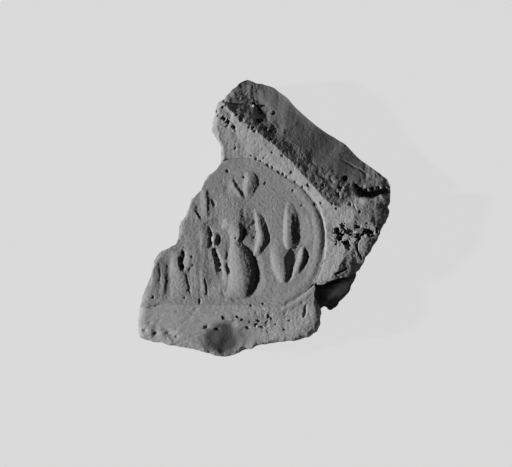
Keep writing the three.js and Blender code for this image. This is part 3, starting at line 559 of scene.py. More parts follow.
SUNK = {
    "waist notch": (1.2, 1, [
        (228, 239, 241.5, 245, -0.05), (232, 240.5, 243.6, 247, -0.3),
        (236, 239.5, 242.6, 246, -0.28), (240, 237.5, 240, 243, -0.12), (242.5, 236, 238, 241, -0.02)]),
    "back of blade": (1, 1.2, [
        (210, 257, 259, 261, -0.03), (218, 260, 263.4, 266, -0.08), (228, 262, 266.4, 269, -0.1),
        (238, 263, 268, 271, -0.12), (245, 262, 266.6, 270, -0.08), (254, 256, 259, 262, -0.02)]),
    "arm hollow": (1.4, 0.9, [
        (208, 241, 253, 255, -0.04), (214, 239, 254.5, 256.5, -0.2), (220, 238, 255, 257, -0.32),
        (225, 239, 255.5, 257.5, -0.34), (231, 242, 256, 258, -0.24), (240, 247, 255.5, 258, -0.12),
        (246, 249, 254, 257, -0.03)]),
    "arm pit": (1, 1, [
        (219, 252.5, 254, 255.8, -0.05), (222, 251.5, 253.8, 256, -0.25),
        (226, 251, 252.5, 254, -0.05)]),
    "rod hollow": (1, 1.3, [
        (212, 292, 297, 303, -0.05), (220, 291, 298, 310, -0.16), (232, 291, 298.5, 312, -0.22),
        (242, 292, 298.5, 310, -0.18), (249, 293, 296.5, 301, -0.05)]),
    "robe hollow": (1.2, 1.4, [
        (246, 245, 249, 256, -0.05), (256, 249, 254, 262, -0.16), (268, 250, 257, 265, -0.2),
        (280, 250, 257, 266, -0.2), (292, 247, 252, 262, -0.12), (298, 245, 248, 254, -0.03)]),
    "vessel side": (1.5, 1, [
        (244, 258, 269, 272, -0.03), (252, 258, 269.5, 272.5, -0.1), (262, 259, 270, 273.5, -0.12),
        (272, 260, 272, 275, -0.1), (282, 264, 277, 281, -0.03)]),
    "vessel hollow": (1.1, 0.9, [
        (246, 292, 298, 301.5, -0.08), (251, 288, 298, 301.5, -0.36), (256, 285, 296.6, 299.5, -0.5),
        (261, 284, 295, 298, -0.52), (266, 285, 292.6, 296, -0.46), (272, 286, 291, 294.6, -0.38),
        (278, 285.5, 289.2, 293, -0.26), (283, 285, 287.4, 289.6, -0.04)]),
    "handle hollow": (1, 1.1, [
        (250, 304, 306.5, 309, -0.06), (256, 304, 307, 311, -0.18), (263, 302, 305, 309, -0.18),
        (271, 299, 301.5, 304.5, -0.05)]),
    "frond groove": (1, 1, [
        (190, 206, 207.8, 210, -0.04), (197, 206.5, 208.6, 211.5, -0.1),
        (204, 207, 209.2, 212, -0.1), (212, 207, 209.2, 212, -0.08),
        (218, 207.5, 209.4, 211.5, -0.02)]),
    "frond pits": (1, 1, [
        (198, 210.5, 212, 213.5, -0.05), (201, 210.5, 213, 216.5, -0.2),
        (204, 211.5, 214.5, 216.8, -0.2), (208, 213, 214.5, 216, -0.04)]),
    "side line": (1, 1, [
        (208.5, 193, 194.5, 196, -0.03), (213, 195.5, 197, 198.6, -0.16),
        (217, 198, 199.6, 201.2, -0.14), (221, 200.3, 201.8, 203.2, -0.03)]),
    "arm band": (1.3, 1.3, [
        (217, 216, 222, 227, -0.05), (222, 203, 220.5, 227, -0.26), (227, 200, 219, 227, -0.26),
        (231, 200, 212, 222, -0.1), (234, 203, 208, 214, -0.03)]),
    "fruit line": (1, 1, [
        (178, 232, 233.6, 235.5, -0.03), (186, 234.5, 236.6, 239, -0.12),
        (193, 239.5, 241.6, 244, -0.14), (199, 241.5, 243.6, 246, -0.03)]),
    "dimple": (1.6, 1.6, [
        (184, 223, 226.5, 230, -0.03), (188, 222.5, 226.5, 231, -0.1), (194, 222, 228, 234, -0.06),
        (199, 224, 228, 232, -0.02)]),
    "arm hollow foot": (1.6, 0.9, [
        (216, 247, 255, 257, -0.04), (222, 246, 255, 257, -0.14), (229, 247, 255.6, 257.6, -0.13),
        (236, 249, 256, 258.4, -0.08), (243, 250, 255.6, 258, -0.04)]),
    "breast pit": (1.3, 1.3, [
        (208, 240.5, 243, 246, -0.03), (212.5, 239.5, 242.5, 246, -0.08),
        (217.5, 240.5, 243.5, 247, -0.06), (221, 242, 244.5, 247, -0.02)]),
    "hand hole": (0.8, 0.8, [
        (225, 206.5, 208, 209.5, -0.04), (230, 207.5, 209.6, 212, -0.3),
        (236, 208.4, 211.4, 213.6, -0.7), (242, 208, 211.2, 213.4, -0.65),
        (246, 207.2, 210.4, 213.6, -0.45), (248.5, 208.5, 210.5, 213, -0.06)]),
    "hand slot": (0.8, 0.8, [
        (234, 218, 219.6, 221, -0.1), (240, 217.4, 219.4, 221, -0.5),
        (244, 217, 218.8, 220.6, -0.45), (246.5, 216.8, 218.2, 219.4, -0.06)]),
    "trench": (1.1, 1, [
        (247, 212, 214.6, 217, -0.1), (253, 211.6, 216.6, 219.5, -0.4),
        (259, 213, 218.6, 222, -0.46), (266, 214.6, 220, 223.4, -0.38), (273, 216, 221, 224, -0.16),
        (281, 219, 221.6, 224, -0.04)]),
    "robe fold": (1.3, 1, [
        (266, 208, 219, 223, -0.03), (273, 208, 221, 225.5, -0.14), (280, 207, 222, 227, -0.18),
        (287, 209, 222, 226, -0.04)]),
    "robe slit": (0.8, 0.8, [
        (262, 225.2, 226.8, 228.4, -0.1), (267, 225.6, 227.2, 229, -0.4),
        (272, 226.2, 228.4, 231, -0.5), (275, 226.5, 228, 229.5, -0.05)]),
    "robe nick": (1, 1, [
        (250, 225.5, 227, 228.5, -0.05), (256, 225.5, 227.2, 229, -0.18),
        (260, 225.5, 227, 228.5, -0.04)]),
    "trunk slit": (0.9, 0.9, [
        (277, 203.8, 205, 206.2, -0.04), (284, 204.6, 205.8, 207, -0.16),
        (291, 205.4, 206.6, 207.8, -0.18), (296, 205.4, 206.6, 207.6, -0.04)]),
    "pit top": (0.8, 1.3, [
        (249, 180.5, 182.5, 184.5, -0.06), (253, 181, 183.2, 187, -0.3),
        (258, 180, 182.4, 187, -0.36), (262, 179.2, 181.6, 186, -0.22)]),
    "pit": (0.8, 1, [
        (256, 178.6, 180.4, 182.6, -0.05), (261, 177.4, 180, 184.6, -0.35),
        (266, 178, 181.2, 185.2, -0.55), (269.5, 180, 182.2, 184.8, -0.35),
        (271.5, 181, 182.5, 184, -0.05)]),
    "strip groove": (0.9, 0.9, [
        (273, 185, 186.2, 187.4, -0.04), (280, 186.2, 187.4, 188.6, -0.12),
        (288, 188, 189.4, 190.8, -0.14), (295, 190, 191.4, 192.6, -0.04)]),
    "long groove": (1.2, 1.2, [
        (262, 165, 169.4, 172, -0.04), (268, 165.6, 169.6, 172, -0.14),
        (276, 165.4, 169.6, 172.2, -0.17), (284, 165, 169.8, 172.4, -0.12),
        (294, 162, 169, 173, -0.12), (302, 163, 168, 172, -0.03)]),
    "upper hollow": (1.5, 1, [
        (250, 158, 168, 173, -0.04), (256, 157, 168.5, 172.5, -0.12), (262, 156, 169, 172.5, -0.18),
        (268, 156, 168, 172, -0.18), (273, 157, 167, 171.5, -0.1), (278, 158, 165, 170, -0.03)]),
    "edge groove": (1.1, 1.2, [
        (262, 157.5, 159.2, 161, -0.03), (270, 158.2, 160, 162, -0.08),
        (278, 158.4, 160.2, 162, -0.08), (285, 158, 159.6, 161.5, -0.02)]),
    "hem dots": (1, 1, [
        (289, 220.5, 222, 223.5, -0.04), (294, 222, 224, 225.6, -0.12),
        (299, 224.5, 226, 227.5, -0.03)]),
    "small mark": (0.9, 0.9, [
        (297.5, 198.4, 199.6, 200.8, -0.05), (301, 198.6, 200, 201.6, -0.25),
        (305, 199.2, 200.4, 201.6, -0.05)]),
    "right slit": (0.9, 0.9, [
        (304, 305, 306.3, 307.6, -0.05), (309, 303.6, 305.3, 307, -0.35),
        (315, 302.6, 304.4, 306, -0.35), (318.5, 302.6, 303.8, 305, -0.05)]),
}
UNION_SOFTNESS = 0.05
UNION_LEAST = 0.01
ROW_ENDS = 1.5
LEFT_BEND = 2.0
RIGHT_BEND = 1.7
FIGURE_BEND = 0.06
FIGURE_FRAY = 0.07


def row_form(x, y, rows, left_power, right_power):
    """A form drawn row by row. Rows are smoothed into a table over the picture's y. On each side
    of the crest the height is the crest's times one less a power of the share of the way to the
    foot, and that to another power: a low second power makes a steep foot."""
    rows = np.asarray(rows, dtype=float)
    at_x, at_y = to_pixels(x, y)
    low_y, high_y = rows[0, 0], rows[-1, 0]
    near = (at_y > low_y) & (at_y < high_y) & (at_x > rows[:, 1].min() - 2)
    near = near & (at_x < rows[:, 3].max() + 2)
    out = np.zeros_like(x)
    if near.any():
        table = around(rows, 6, False)
        table[:, 0] = np.maximum.accumulate(table[:, 0])
        px_x, px_y = at_x[near], at_y[near]
        left, crest, right, height = [np.interp(px_y, table[:, 0], table[:, k])
                                      for k in (1, 2, 3, 4)]
        ends = smooth_step(low_y, low_y + ROW_ENDS, px_y)
        ends = ends * (1 - smooth_step(high_y - ROW_ENDS, high_y, px_y))
        on_left = px_x < crest
        share = (px_x - crest) / np.where(on_left, crest - left, right - crest)
        bent = np.abs(share) ** np.where(on_left, LEFT_BEND, RIGHT_BEND)
        body = np.clip(1 - bent, 0, 1) ** np.where(on_left, left_power, right_power)
        out[near] = height * body * ends
    return out


def soft_union(a, b):
    """The higher of two heights, with the crease between them filled by a small parabola."""
    near = np.clip(1 - np.abs(a - b) / UNION_SOFTNESS, 0, 1)
    return np.maximum(a, b) + near**2 * UNION_SOFTNESS / 4 * (np.minimum(a, b) > UNION_LEAST)


def figures(x, y):
    """Height of the figures over the field: the highest of the raised forms, with the sunk ones
    added. The drawing is bent a little by noise, as nothing on worn clay runs quite true."""
    bent = [at + FIGURE_BEND * soft_noise(x, y, 0.9, seed)
            + FIGURE_FRAY * rough_noise(x, y, 0.4, seed + 1, 2) for at, seed in ((x, 301), (y, 303))]
    height = np.zeros_like(x)
    for left_power, right_power, rows in RAISED.values():
        height = soft_union(height, row_form(*bent, rows, left_power, right_power))
    for left_power, right_power, rows in SUNK.values():
        height = height + row_form(*bent, rows, left_power, right_power)
    return height


# %% [markdown]
# ## The margin
# Outside the border the clay was squeezed up, rolled over and broken. The roll's end broke off
# in a hollow that falls east. The dent at the lower edge is a fingertip's. The crater is a nest
# of deep pits where grit and clay fell out. The crevice under the roll is deep and narrow.

# %% Margin forms
# A facet tilts down towards the east: x where its fall starts, is lowest and ends, its slope, the
# width of its soft edge in pixels, and its corners
FACETS = {
    "dent": (198, 238, 275, -0.08, 9, [
        (202, 340), (206, 330), (217, 323), (226, 319), (236, 316), (240, 324), (240, 332),
        (244, 340), (243, 348), (236, 356), (222, 359), (210, 351)]),
    "roll end": (232, 275, 310, -0.04, 12, [
        (226, 94), (240, 84), (256, 88), (268, 100), (276, 116), (272, 128), (260, 126), (246, 116),
        (232, 108)]),
    "lump side": (367, 394, 420, -0.11, 8, [
        (367, 198), (394, 198), (394, 228), (378, 232), (368, 224)]),
    "lump foot": (335, 364, 385, -0.14, 9, [
        (342, 258), (355, 251), (368, 262), (362, 284), (333, 286), (331, 278)]),
    "lip end": (314, 340, 380, -0.8, 6, [
        (312, 284), (330, 284), (330, 335), (315, 334), (318, 318), (315, 302)]),
}

# Pixels to the foot on the west and on the east, sharpness, and a path of x, y and height
MARGIN_RIDGES = {
    "outer streak": (10, 12, 1.5, [
        (250, 87, 0.03), (261, 90, 0.07), (272, 100, 0.08), (285, 116, 0.05), (298, 138, 0.02)]),
    "crevice": (4.4, 4.4, 0.7, [
        (358, 189, -0.4), (361, 191.5, -1.5), (365, 194, -2.2), (370, 195, -2.4), (379, 193, -2.4),
        (391, 192.5, -2.2)]),
    "roll crack": (1.5, 1.5, 1, [
        (342, 160, -0.02), (349, 163, -0.05), (355, 167, -0.07), (361, 169, -0.07), (367, 174, -0.04)]),
    "corner crack": (2, 2, 0.9, [(336, 274, -0.4), (341, 271.5, -0.5), (346, 268.5, -0.4)]),
    "chip crack": (2, 2, 0.9, [
        (358, 241, -0.4), (356, 246, -0.45), (358, 252, -0.4), (362, 258, -0.25)]),
    "chip": (8, 9, 1.2, [(363, 238, 0.08), (366, 245, 0.2), (366, 253, 0.1)]),
    "crater bowl": (10, 10, 1.3, [
        (336, 231, -0.2), (345, 236, -0.35), (356, 231, -0.35), (366, 232, -0.3)]),
    "ground crack": (1.5, 1.5, 1, [
        (150, 306.5, -0.08), (156, 306, -0.14), (162, 304.5, -0.12), (167, 304, -0.06)]),
    "lip line": (1.8, 1.8, 1, [(197, 308, -0.05), (192, 314, -0.08), (187, 319, -0.04)]),
    "lip dent west": (4, 5, 1.2, [(155, 328, -0.1), (156, 333, -0.22), (155, 338, -0.1)]),
    "lip dent east": (5, 6, 1.2, [(165, 331, -0.1), (170, 334, -0.18), (174, 337, -0.1)]),
}

# x, y and radius in pixels, and depth in millimetres
PITS = [
    (226, 107, 1.4, 0.12), (230.5, 114, 2.8, 0.22), (237, 116, 1.5, 0.12), (241.5, 121, 2.6, 0.2),
    (255, 131.5, 1.8, 0.25), (270, 140, 2.4, 0.15), (343, 226, 3, 0.8), (337, 231, 3.6, 0.8),
    (341, 237, 2.6, 0.6), (345, 243, 2.6, 0.6), (358, 236, 3, 0.7), (371, 232, 2.6, 0.6),
    (336.5, 244, 1.6, 0.3), (349, 249, 1.3, 0.25), (224, 119, 2.4, 0.7), (228, 122, 2.4, 0.7),
    (234, 127, 2.2, 0.6), (227, 126, 1.6, 0.4), (224, 102, 1.8, 0.5), (217.5, 112, 1.5, 0.4),
    (218, 116, 1.3, 0.3), (223, 108, 1.4, 0.3), (254, 104, 2.2, 0.6), (257, 106, 1.6, 0.4),
    (259, 110, 1.8, 0.6), (261, 113, 1.5, 0.5), (258, 122, 2.6, 0.5), (262, 121, 1.6, 0.4),
    (266, 129, 2.2, 0.5), (271, 131, 2.2, 0.5), (276, 132, 1.4, 0.3), (274, 113, 2.2, 0.4),
    (249, 128, 1.6, 0.4), (253, 129, 1.8, 0.5), (235, 148, 1.5, 0.3), (251, 156, 1.2, 0.3),
    (256, 159, 1.4, 0.3), (261, 161, 1.4, 0.3), (264, 158, 1.2, 0.25), (268, 165, 1.8, 0.4),
    (273, 167.5, 1.6, 0.35), (279, 172, 1.8, 0.35), (283, 174, 1.7, 0.35), (287, 177, 1.4, 0.3),
    (291, 172.5, 1.8, 0.4), (282, 156, 1.6, 0.3), (272, 153, 1.2, 0.25), (275, 143, 1.4, 0.3),
    (308, 185.5, 1.8, 0.4), (293, 191, 1.6, 0.2), (295, 182, 1.3, 0.3), (302, 187, 1.4, 0.3),
    (314.5, 204, 2, 0.3), (321, 203, 1.6, 0.25), (356, 186, 2.4, 0.8), (361, 189, 2.6, 0.9),
    (367, 190, 2.4, 0.9), (373, 189, 2.4, 0.8), (379, 187.5, 2.2, 0.6), (385, 188, 2.2, 0.6),
    (215, 250, 1.8, 0.4), (216, 255, 2.3, 0.5), (218, 260, 2.2, 0.5), (219, 264.5, 2.4, 0.5),
    (220, 270, 1.8, 0.4), (182.5, 253, 1.8, 0.3), (181, 260, 2.2, 0.4), (182, 267, 2.2, 0.45),
    (259, 321, 1.8, 0.4), (266, 323, 1.6, 0.35), (271, 318, 1.8, 0.4), (262, 327, 1.6, 0.4),
    (276, 324, 1.4, 0.3), (284, 330, 1.2, 0.25), (250, 322, 1.3, 0.25), (290, 321, 1.2, 0.25),
    (346, 178, 2.8, 0.9), (350, 204, 2.2, 0.5), (336, 208.5, 1.4, 0.4), (332, 204, 1.4, 0.2),
    (360, 212, 1.5, 0.3), (338, 195, 2.6, 0.4), (340, 188, 3, 0.5), (323, 185, 1.8, 0.4),
    (227.5, 171, 1.6, 0.3), (265, 183, 1.5, 0.3), (244.5, 177, 1.5, 0.3), (236.5, 238, 1.4, 0.2),
    (256, 232, 1, 0.2), (254, 237, 1.2, 0.2), (302, 205, 1.8, 0.15), (192, 257, 1.4, 0.2),
    (192.5, 265, 1.2, 0.2), (184, 298, 1.5, 0.2), (188, 290, 1.4, 0.1), (153, 297, 1.6, 0.45),
    (206, 327, 2, 0.4), (217, 329, 1.5, 0.3), (223, 318, 1.5, 0.3), (237, 317, 1.6, 0.3),
    (242, 320, 1.6, 0.35), (256, 325, 2, 0.5), (248, 328, 1.8, 0.4), (268, 316, 1.6, 0.35),
    (251, 305, 1.4, 0.3), (263, 304, 1.4, 0.3), (155, 334, 2.2, 0.12), (168, 333, 2.2, 0.12),
    (176, 336, 1.6, 0.14), (144, 330, 1.8, 0.35), (316, 285, 2, 1), (328, 283, 1.8, 0.6),
]
# How far bumps move a pit's rim, as a share of its radius, and the width of the bumps
PIT_BUMPS = [(0.45, 0.28), (0.25, 0.13)]
PIT_POWER = 0.8


def margin_marks(x, y):
    """Height added by the marks of the margin."""
    out = np.zeros_like(x)
    at_x = to_pixels(x, y)[0]
    for start, lowest, end, slope, soft, corners in FACETS.values():
        fall = slope * px(lowest - start) * np.interp(at_x, [start, lowest, end], [0, 1, 0])
        out = out + fall * inside_share(x, y, corners, px(soft))
    return out + ridges(x, y, MARGIN_RIDGES)


def pits(x, y):
    """Single pits, cut to the deepest where they meet. Each one's rim is made ragged by noise. Its
    depth is one less the squared share of its radius, to a power that makes its side steep."""
    ragged = sum(amount * soft_noise(x, y, width, 311 + k)
                 for k, (amount, width) in enumerate(PIT_BUMPS))
    cut = np.zeros_like(x)
    for at_x, at_y, radius, depth in PITS:
        (mid_x, mid_y), wide = from_pixels([at_x, at_y]), px(radius)
        near = (np.abs(x - mid_x) < 2 * wide) & (np.abs(y - mid_y) < 2 * wide)
        share = np.hypot(x[near] - mid_x, y[near] - mid_y) / wide + ragged[near]
        bowl = np.clip(1 - share**2 * (share > 0), 0, 1) ** PIT_POWER
        cut[near] = np.minimum(cut[near], -depth * bowl)
    return cut


# %% [markdown]
# ## Grain
# The clay isn't equally rough. Fingers smoothed the roll's outer face, the seal smoothed the
# field, and the collar between them is sandy. The breaks at the ends of the roll, in the crater
# and along the lip are coarse and full of pores. Masks choose how much of each there is.

# %% Grain
# x, y and radius in pixels: broken clay, torn holes in the crater, clay smoothed by fingers or by
# the press of one, and sandy clay
COARSE_SPOTS = [
    (246, 98, 16), (259, 110, 15), (267, 128, 12), (226, 121, 12), (222, 104, 9), (247, 124, 12),
    (304, 164, 14), (322, 178, 20), (342, 186, 20), (362, 186, 14), (354, 204, 16), (345, 233, 17),
    (362, 236, 15), (352, 252, 12), (366, 212, 16), (264, 322, 20), (288, 326, 16), (308, 320, 12),
    (152, 331, 14), (170, 333, 12), (336, 288, 24), (215, 258, 8), (183, 262, 10), (342, 268, 12),
]
TORN_SPOTS = [
    (337, 231, 8), (343, 239, 8), (350, 232, 8), (357, 233, 9), (366, 230, 8), (349, 244, 6),
    (374, 231, 5),
]
SMOOTH_SPOTS = [
    (272, 96, 18), (288, 112, 22), (308, 132, 26), (328, 150, 26), (350, 166, 20), (226, 338, 22),
    (250, 336, 14),
]
SANDY_SPOTS = [
    (248, 142, 22), (268, 150, 20), (290, 170, 18), (312, 190, 20), (332, 212, 20), (334, 240, 22),
    (332, 262, 18), (232, 132, 20), (222, 118, 18), (272, 318, 30), (300, 316, 24), (160, 328, 26),
    (192, 330, 16),
]

# Height, width and seed of each layer, and for hollows the level at which they begin
SWELLS = (0.035, 2.6, 11)
TOOTH, TOOTH_HOLLOWS = (0.025, 0.42, 21), (0.035, 0.45, 31, 0.45)
SAND, SAND_HOLLOWS = (0.013, 0.6, 41), (0.045, 0.5, 51, 0.45)
CLODS, CLOD_HOLLOWS = (0.025, 0.8, 61), (0.075, 0.7, 71, 0.4)
TORN_HOLES = (0.9, 1.0, 84, 0.0)
SMOOTHED = 0.75


def bumps(x, y, layer, layers=3):
    """A layer of rough noise."""
    height, width, seed = layer
    return height * rough_noise(x, y, width, seed, layers)


def holes(x, y, layer):
    """A layer of ragged hollows."""
    height, width, seed, level = layer
    return height * hollows(x, y, width, level, seed)


def grain(x, y, coarse, sandy):
    """Fine relief in millimetres: swells, a fine tooth and small hollows everywhere, sand where
    sandy, broken clay with larger hollows where coarse, and the crater's deep torn holes."""
    smooth = 1 - SMOOTHED * zone(x, y, SMOOTH_SPOTS)
    tooth = bumps(x, y, TOOTH, 2) - holes(x, y, TOOTH_HOLLOWS)
    out = bumps(x, y, SWELLS) * smooth + tooth * smooth
    sand = bumps(x, y, SAND) - holes(x, y, SAND_HOLLOWS)
    broken = bumps(x, y, CLODS) - holes(x, y, CLOD_HOLLOWS)
    torn = zone(x, y, TORN_SPOTS) * holes(x, y, TORN_HOLES)
    return out + sandy * sand + coarse * broken * smooth - torn


def seam_height(x, y):
    """Top of the backing wad: a low crown, a cosine each way."""
    across = np.cos(np.pi * x / BULLA_WIDTH) * np.cos(np.pi * y / BULLA_LENGTH)
    return SEAM_HEIGHT + SEAM_CROWN * across


# How much the border is bent, how near the crest it may come, the step up at the foot of the
# collar, the least width of the shoulder, where the pressed field ends, as a share of the way to
# the border, and how far it may rise over the margin
BORDER_BEND = 0.4
BORDER_LIMIT = 0.97
FOOT_STEP = 0.1
LEAST_SHOULDER = 0.2
PRESSED_END = 0.985
FIELD_RISE = 0.3


def top_height(x, y):
    """Height of the whole upper side. Along a spoke from the hub: the pressed field, the collar
    up to the crest, and the shoulder. The shoulder's fall is part slope and part the round-off of
    a box, one less the root of one less the fourth power of the share of the way. Figures, marks
    and grain are added."""
    bent = bend(x, y, 401, 1 - SMOOTH_LOSS * zone(x, y, SMOOTH_SPOTS))
    near = bend(x, y, 421, BORDER_BEND)
    turn, far = seen_from(HUB, *bent)
    crest_far, crest_high = [read_off(crest_spokes, turn, k) for k in (1, 2)]
    rim_far = read_off(outline_spokes, turn)
    rim_high, sloping, hollow = [read_off(edge_spokes, turn, k) for k in (2, 3, 4)]
    border_far = np.minimum(read_off(border_spokes, turn), crest_far * BORDER_LIMIT)

    foot = FACE_HEIGHT + np.clip(crest_high - FACE_HEIGHT, 0, FOOT_STEP)
    up = np.clip((far - border_far) / (crest_far - border_far), 0, 1)
    down = np.clip((far - crest_far) / np.maximum(rim_far - crest_far, LEAST_SHOULDER), 0, 1)
    collar = foot + (crest_high - foot) * up
    slope = 1 - (1 - down) ** hollow
    round_off = 1 - np.sqrt(np.clip(1 - down**4, 0, 1))
    shoulder = crest_high - (crest_high - rim_high) * (sloping * slope + (1 - sloping) * round_off)
    margin = np.where(far > crest_far, shoulder, collar)

    share = border_share(*near)
    pressed = 1 - smooth_step(PRESSED_END, 1, share)
    edge_drop = np.where(far > crest_far, crest_high - shoulder, 0)
    field = FACE_HEIGHT + FIELD_DISH * (share**2 - 1) - edge_drop
    base = margin * (1 - pressed) + np.minimum(field, margin + FIELD_RISE) * pressed

    relief = figures(x, y) + ridges(*near, BORDER_LINES)
    relief = relief + margin_marks(*bent) + pits(*near)
    return base + relief + grain(x, y, zone(*bent, COARSE_SPOTS), zone(*bent, SANDY_SPOTS))


# %% [markdown]
# ## Cutting out a wad
# Each wad's plan is what a hub inside it can see: in each direction the reach is the distance to
# the nearest of its bounding lines. The wad's mesh is a grid of spokes and rings: rings on top
# from the hub out, then down the wall, then back under it to the hub. Rays hit a line where the
# cross products of direction and stretch agree, which numpy works out for all pairs at once.

# %% Wads
SHARP_DEGREES = 62
DIRECTIONS = 7200
# Rings on which a wad's underside is written, as shares of the way from its hub to its foot
UNDERSIDE = (0.85, 0.5, 0.2)


def reach_to(turns, hub, line):
    """Distance from the hub to an open line in each direction, or infinity past its ends."""
    start, step = line[:-1] - hub, np.diff(line, axis=0)
    dx, dy = np.cos(turns)[:, None], np.sin(turns)[:, None]
    cross = dx * step[:, 1] - dy * step[:, 0]
    cross = np.where(np.abs(cross) < TINY, TINY, cross)
    far = (start[:, 0] * step[:, 1] - start[:, 1] * step[:, 0]) / cross
    share = (start[:, 0] * dy - start[:, 1] * dx) / cross
    hit = (far > 0) & (share >= 0) & (share <= 1)
    return np.where(hit, far, np.inf).min(axis=1)


def plan_of(hub, seams, spokes):
    """Boundary of a wad, evenly spaced: x, y, whether a point lies on the outer outline, and how
    far along it is. The reach is found in many directions and then spread evenly."""
    turns = np.linspace(-np.pi, np.pi, DIRECTIONS, endpoint=False)
    outer = reach_to(turns, hub, np.vstack([outline, outline[:1]]))
    inner = np.full_like(outer, np.inf)
    for seam in seams:
        inner = np.minimum(inner, reach_to(turns, hub, seam) - SEAM_GAP / 2)
    reach = np.minimum(outer, inner)
    x, y = hub[0] + reach * np.cos(turns), hub[1] + reach * np.sin(turns)
    step = np.hypot(np.diff(x, append=x[:1]), np.diff(y, append=y[:1]))
    along = np.concatenate([[0], np.cumsum(step)])
    at = np.linspace(0, along[-1], spokes, endpoint=False)
    closed = [np.append(v, v[0]) for v in (x, y, (outer < inner).astype(float))]
    return np.column_stack([np.interp(at, along, v) for v in closed] + [at])


def piece_from_rings(name, rings):
    """A closed piece from rings of points, the first and last of which are single poles."""
    count = rings[1].shape[0]
    points = np.vstack(rings)
    k = np.arange(count)
    after = (k + 1) % count
    faces = [np.column_stack([np.zeros(count, int), k + 1, after + 1])]
    for r in range(len(rings) - 3):
        a, b = 1 + r * count + k, 1 + r * count + after
        faces.append(np.column_stack([a, a + count, b + count]))
        faces.append(np.column_stack([a, b + count, b]))
    end = 1 + (len(rings) - 3) * count
    faces.append(np.column_stack([end + k, np.full(count, end + count), end + after]))
    faces = np.vstack(faces)
    mesh = bpy.data.meshes.new(name)
    mesh.vertices.add(len(points))
    mesh.vertices.foreach_set("co", (points * MM).ravel())
    mesh.loops.add(faces.size)
    mesh.loops.foreach_set("vertex_index", faces.ravel())
    mesh.polygons.add(len(faces))
    mesh.polygons.foreach_set("loop_start", np.arange(len(faces)) * 3)
    mesh.update(calc_edges=True)
    mesh.validate()
    mesh.polygons.foreach_set("use_smooth", np.ones(len(mesh.polygons), bool))
    mesh.set_sharp_from_angle(angle=np.radians(SHARP_DEGREES))
    piece = put(name, mesh)
    print(name, len(mesh.polygons), "triangles")
    return piece


def smooth_ring(values, width):
    """A ring of values averaged over its neighbours, wrapping round."""
    kernel = np.hanning(width * 2 + 3)[1:-1]
    padded = np.concatenate([values[-width:], values, values[:width]])
    return np.convolve(padded, kernel / kernel.sum(), mode="valid")


def ring_at(hub, edge, share, height):
    """A ring of points at a share of the way from the hub to the edge, at the height there."""
    x, y = hub[0] + (edge[:, 0] - hub[0]) * share, hub[1] + (edge[:, 1] - hub[1]) * share
    return np.column_stack([x, y, height(x, y)])


def pole_at(hub, height):
    """The single point at the hub that closes a wad's top or underside."""
    return np.array([[hub[0], hub[1], height(hub[:1], hub[1:])[0]]])


# Depth of the lumps and holes in a broken side, and how many points are averaged, for where a wad
# changes from outline to seam and for the even line that the outline fades to
SIDE_LUMPS = 0.17
SIDE_HOLES = 0.3
OUTER_SPREAD = 6
EVEN_SPREAD = 8


def from_hub(edge):
    """Unit directions from the hub to the points of a plan."""
    away = edge - HUB
    return away / np.hypot(away[:, 0], away[:, 1])[:, None]


def side_form(edge, z):
    """How far a broken side is drawn in by lumps and holes. They come from noise over x and height
    where the side runs along x, and over y and height where it runs along y, mixed by the squared
    direction from the hub, so two wads agree where one stands on the other."""
    facing_x = from_hub(edge)[:, 0] ** 2
    drawn = 0.0
    for across, weight, seed in ((edge[:, 1], facing_x, 191), (edge[:, 0], 1 - facing_x, 195)):
        lumps = SIDE_LUMPS * (1 + rough_noise(across, z, 1.5, seed, 4))
        sunk = SIDE_HOLES * pores(across, z, 1.1, 0.5, 0.15, 0.45, seed + 7)
        drawn = drawn + weight * (lumps + sunk)
    return drawn


def wall_ring(plan, rim, base, share, inset, start):
    """One ring of a wad's side, at a share of the way from its rim to its base. On the outer
    outline the side draws in by the inset and its lumps, which grow from start at the rim to the
    whole, and the outline's small notches fade out. Nothing goes outwards, so the outline stays
    what is seen from above."""
    edge, outer = plan[:, :2], smooth_ring(plan[:, 2], OUTER_SPREAD)
    even = np.column_stack([smooth_ring(edge[:, k], EVEN_SPREAD) for k in (0, 1)])
    z = rim + (base - rim) * share
    grow = start + (1 - start) * np.sin(np.pi * share * 0.5)
    draw = (inset(share) + side_form(edge, z) * grow) * outer
    at = edge + (even - edge) * (outer * grow)[:, None] - from_hub(edge) * draw[:, None]
    return np.column_stack([at, z])


def wall_rings(plan, rim, base, count, inset, start=0.0):
    """The side of a wad from just below its rim down to its base."""
    return [wall_ring(plan, rim, base, share, inset, start)
            for share in np.linspace(0, 1, count + 1)[1:]]


def on_seam(x, y):
    """Underside of a wad that lies on the backing wad."""
    return seam_height(x, y) + SEAM_GAP / 2


def wad(name, hub_px, seams, spokes, top_count, wall_count):
    """One wad of the upper clay: rings on top by the height function, the wall, and the underside
    on the seam."""
    hub = from_pixels(hub_px)
    plan = plan_of(hub, seams, spokes)
    edge = plan[:, :2]
    rings = [pole_at(hub, top_height)]
    rings += [ring_at(hub, edge, s, top_height) for s in np.linspace(0, 1, top_count + 1)[1:]]
    base = on_seam(edge[:, 0], edge[:, 1])
    rings += wall_rings(plan, rings[-1][:, 2], base, wall_count, lambda s: SEAM_INSET * s * s)
    foot = rings[-1][:, :2]
    rings += [ring_at(hub, foot, s, on_seam) for s in UNDERSIDE]
    rings.append(pole_at(hub, on_seam))
    return piece_from_rings(name, rings)


# %% [markdown]
# ## Seams
# The border of the seal, the ground line under the figures, the fold under the roll, the broken
# corner and the crack round the chip are the lines along which the lump would come apart.

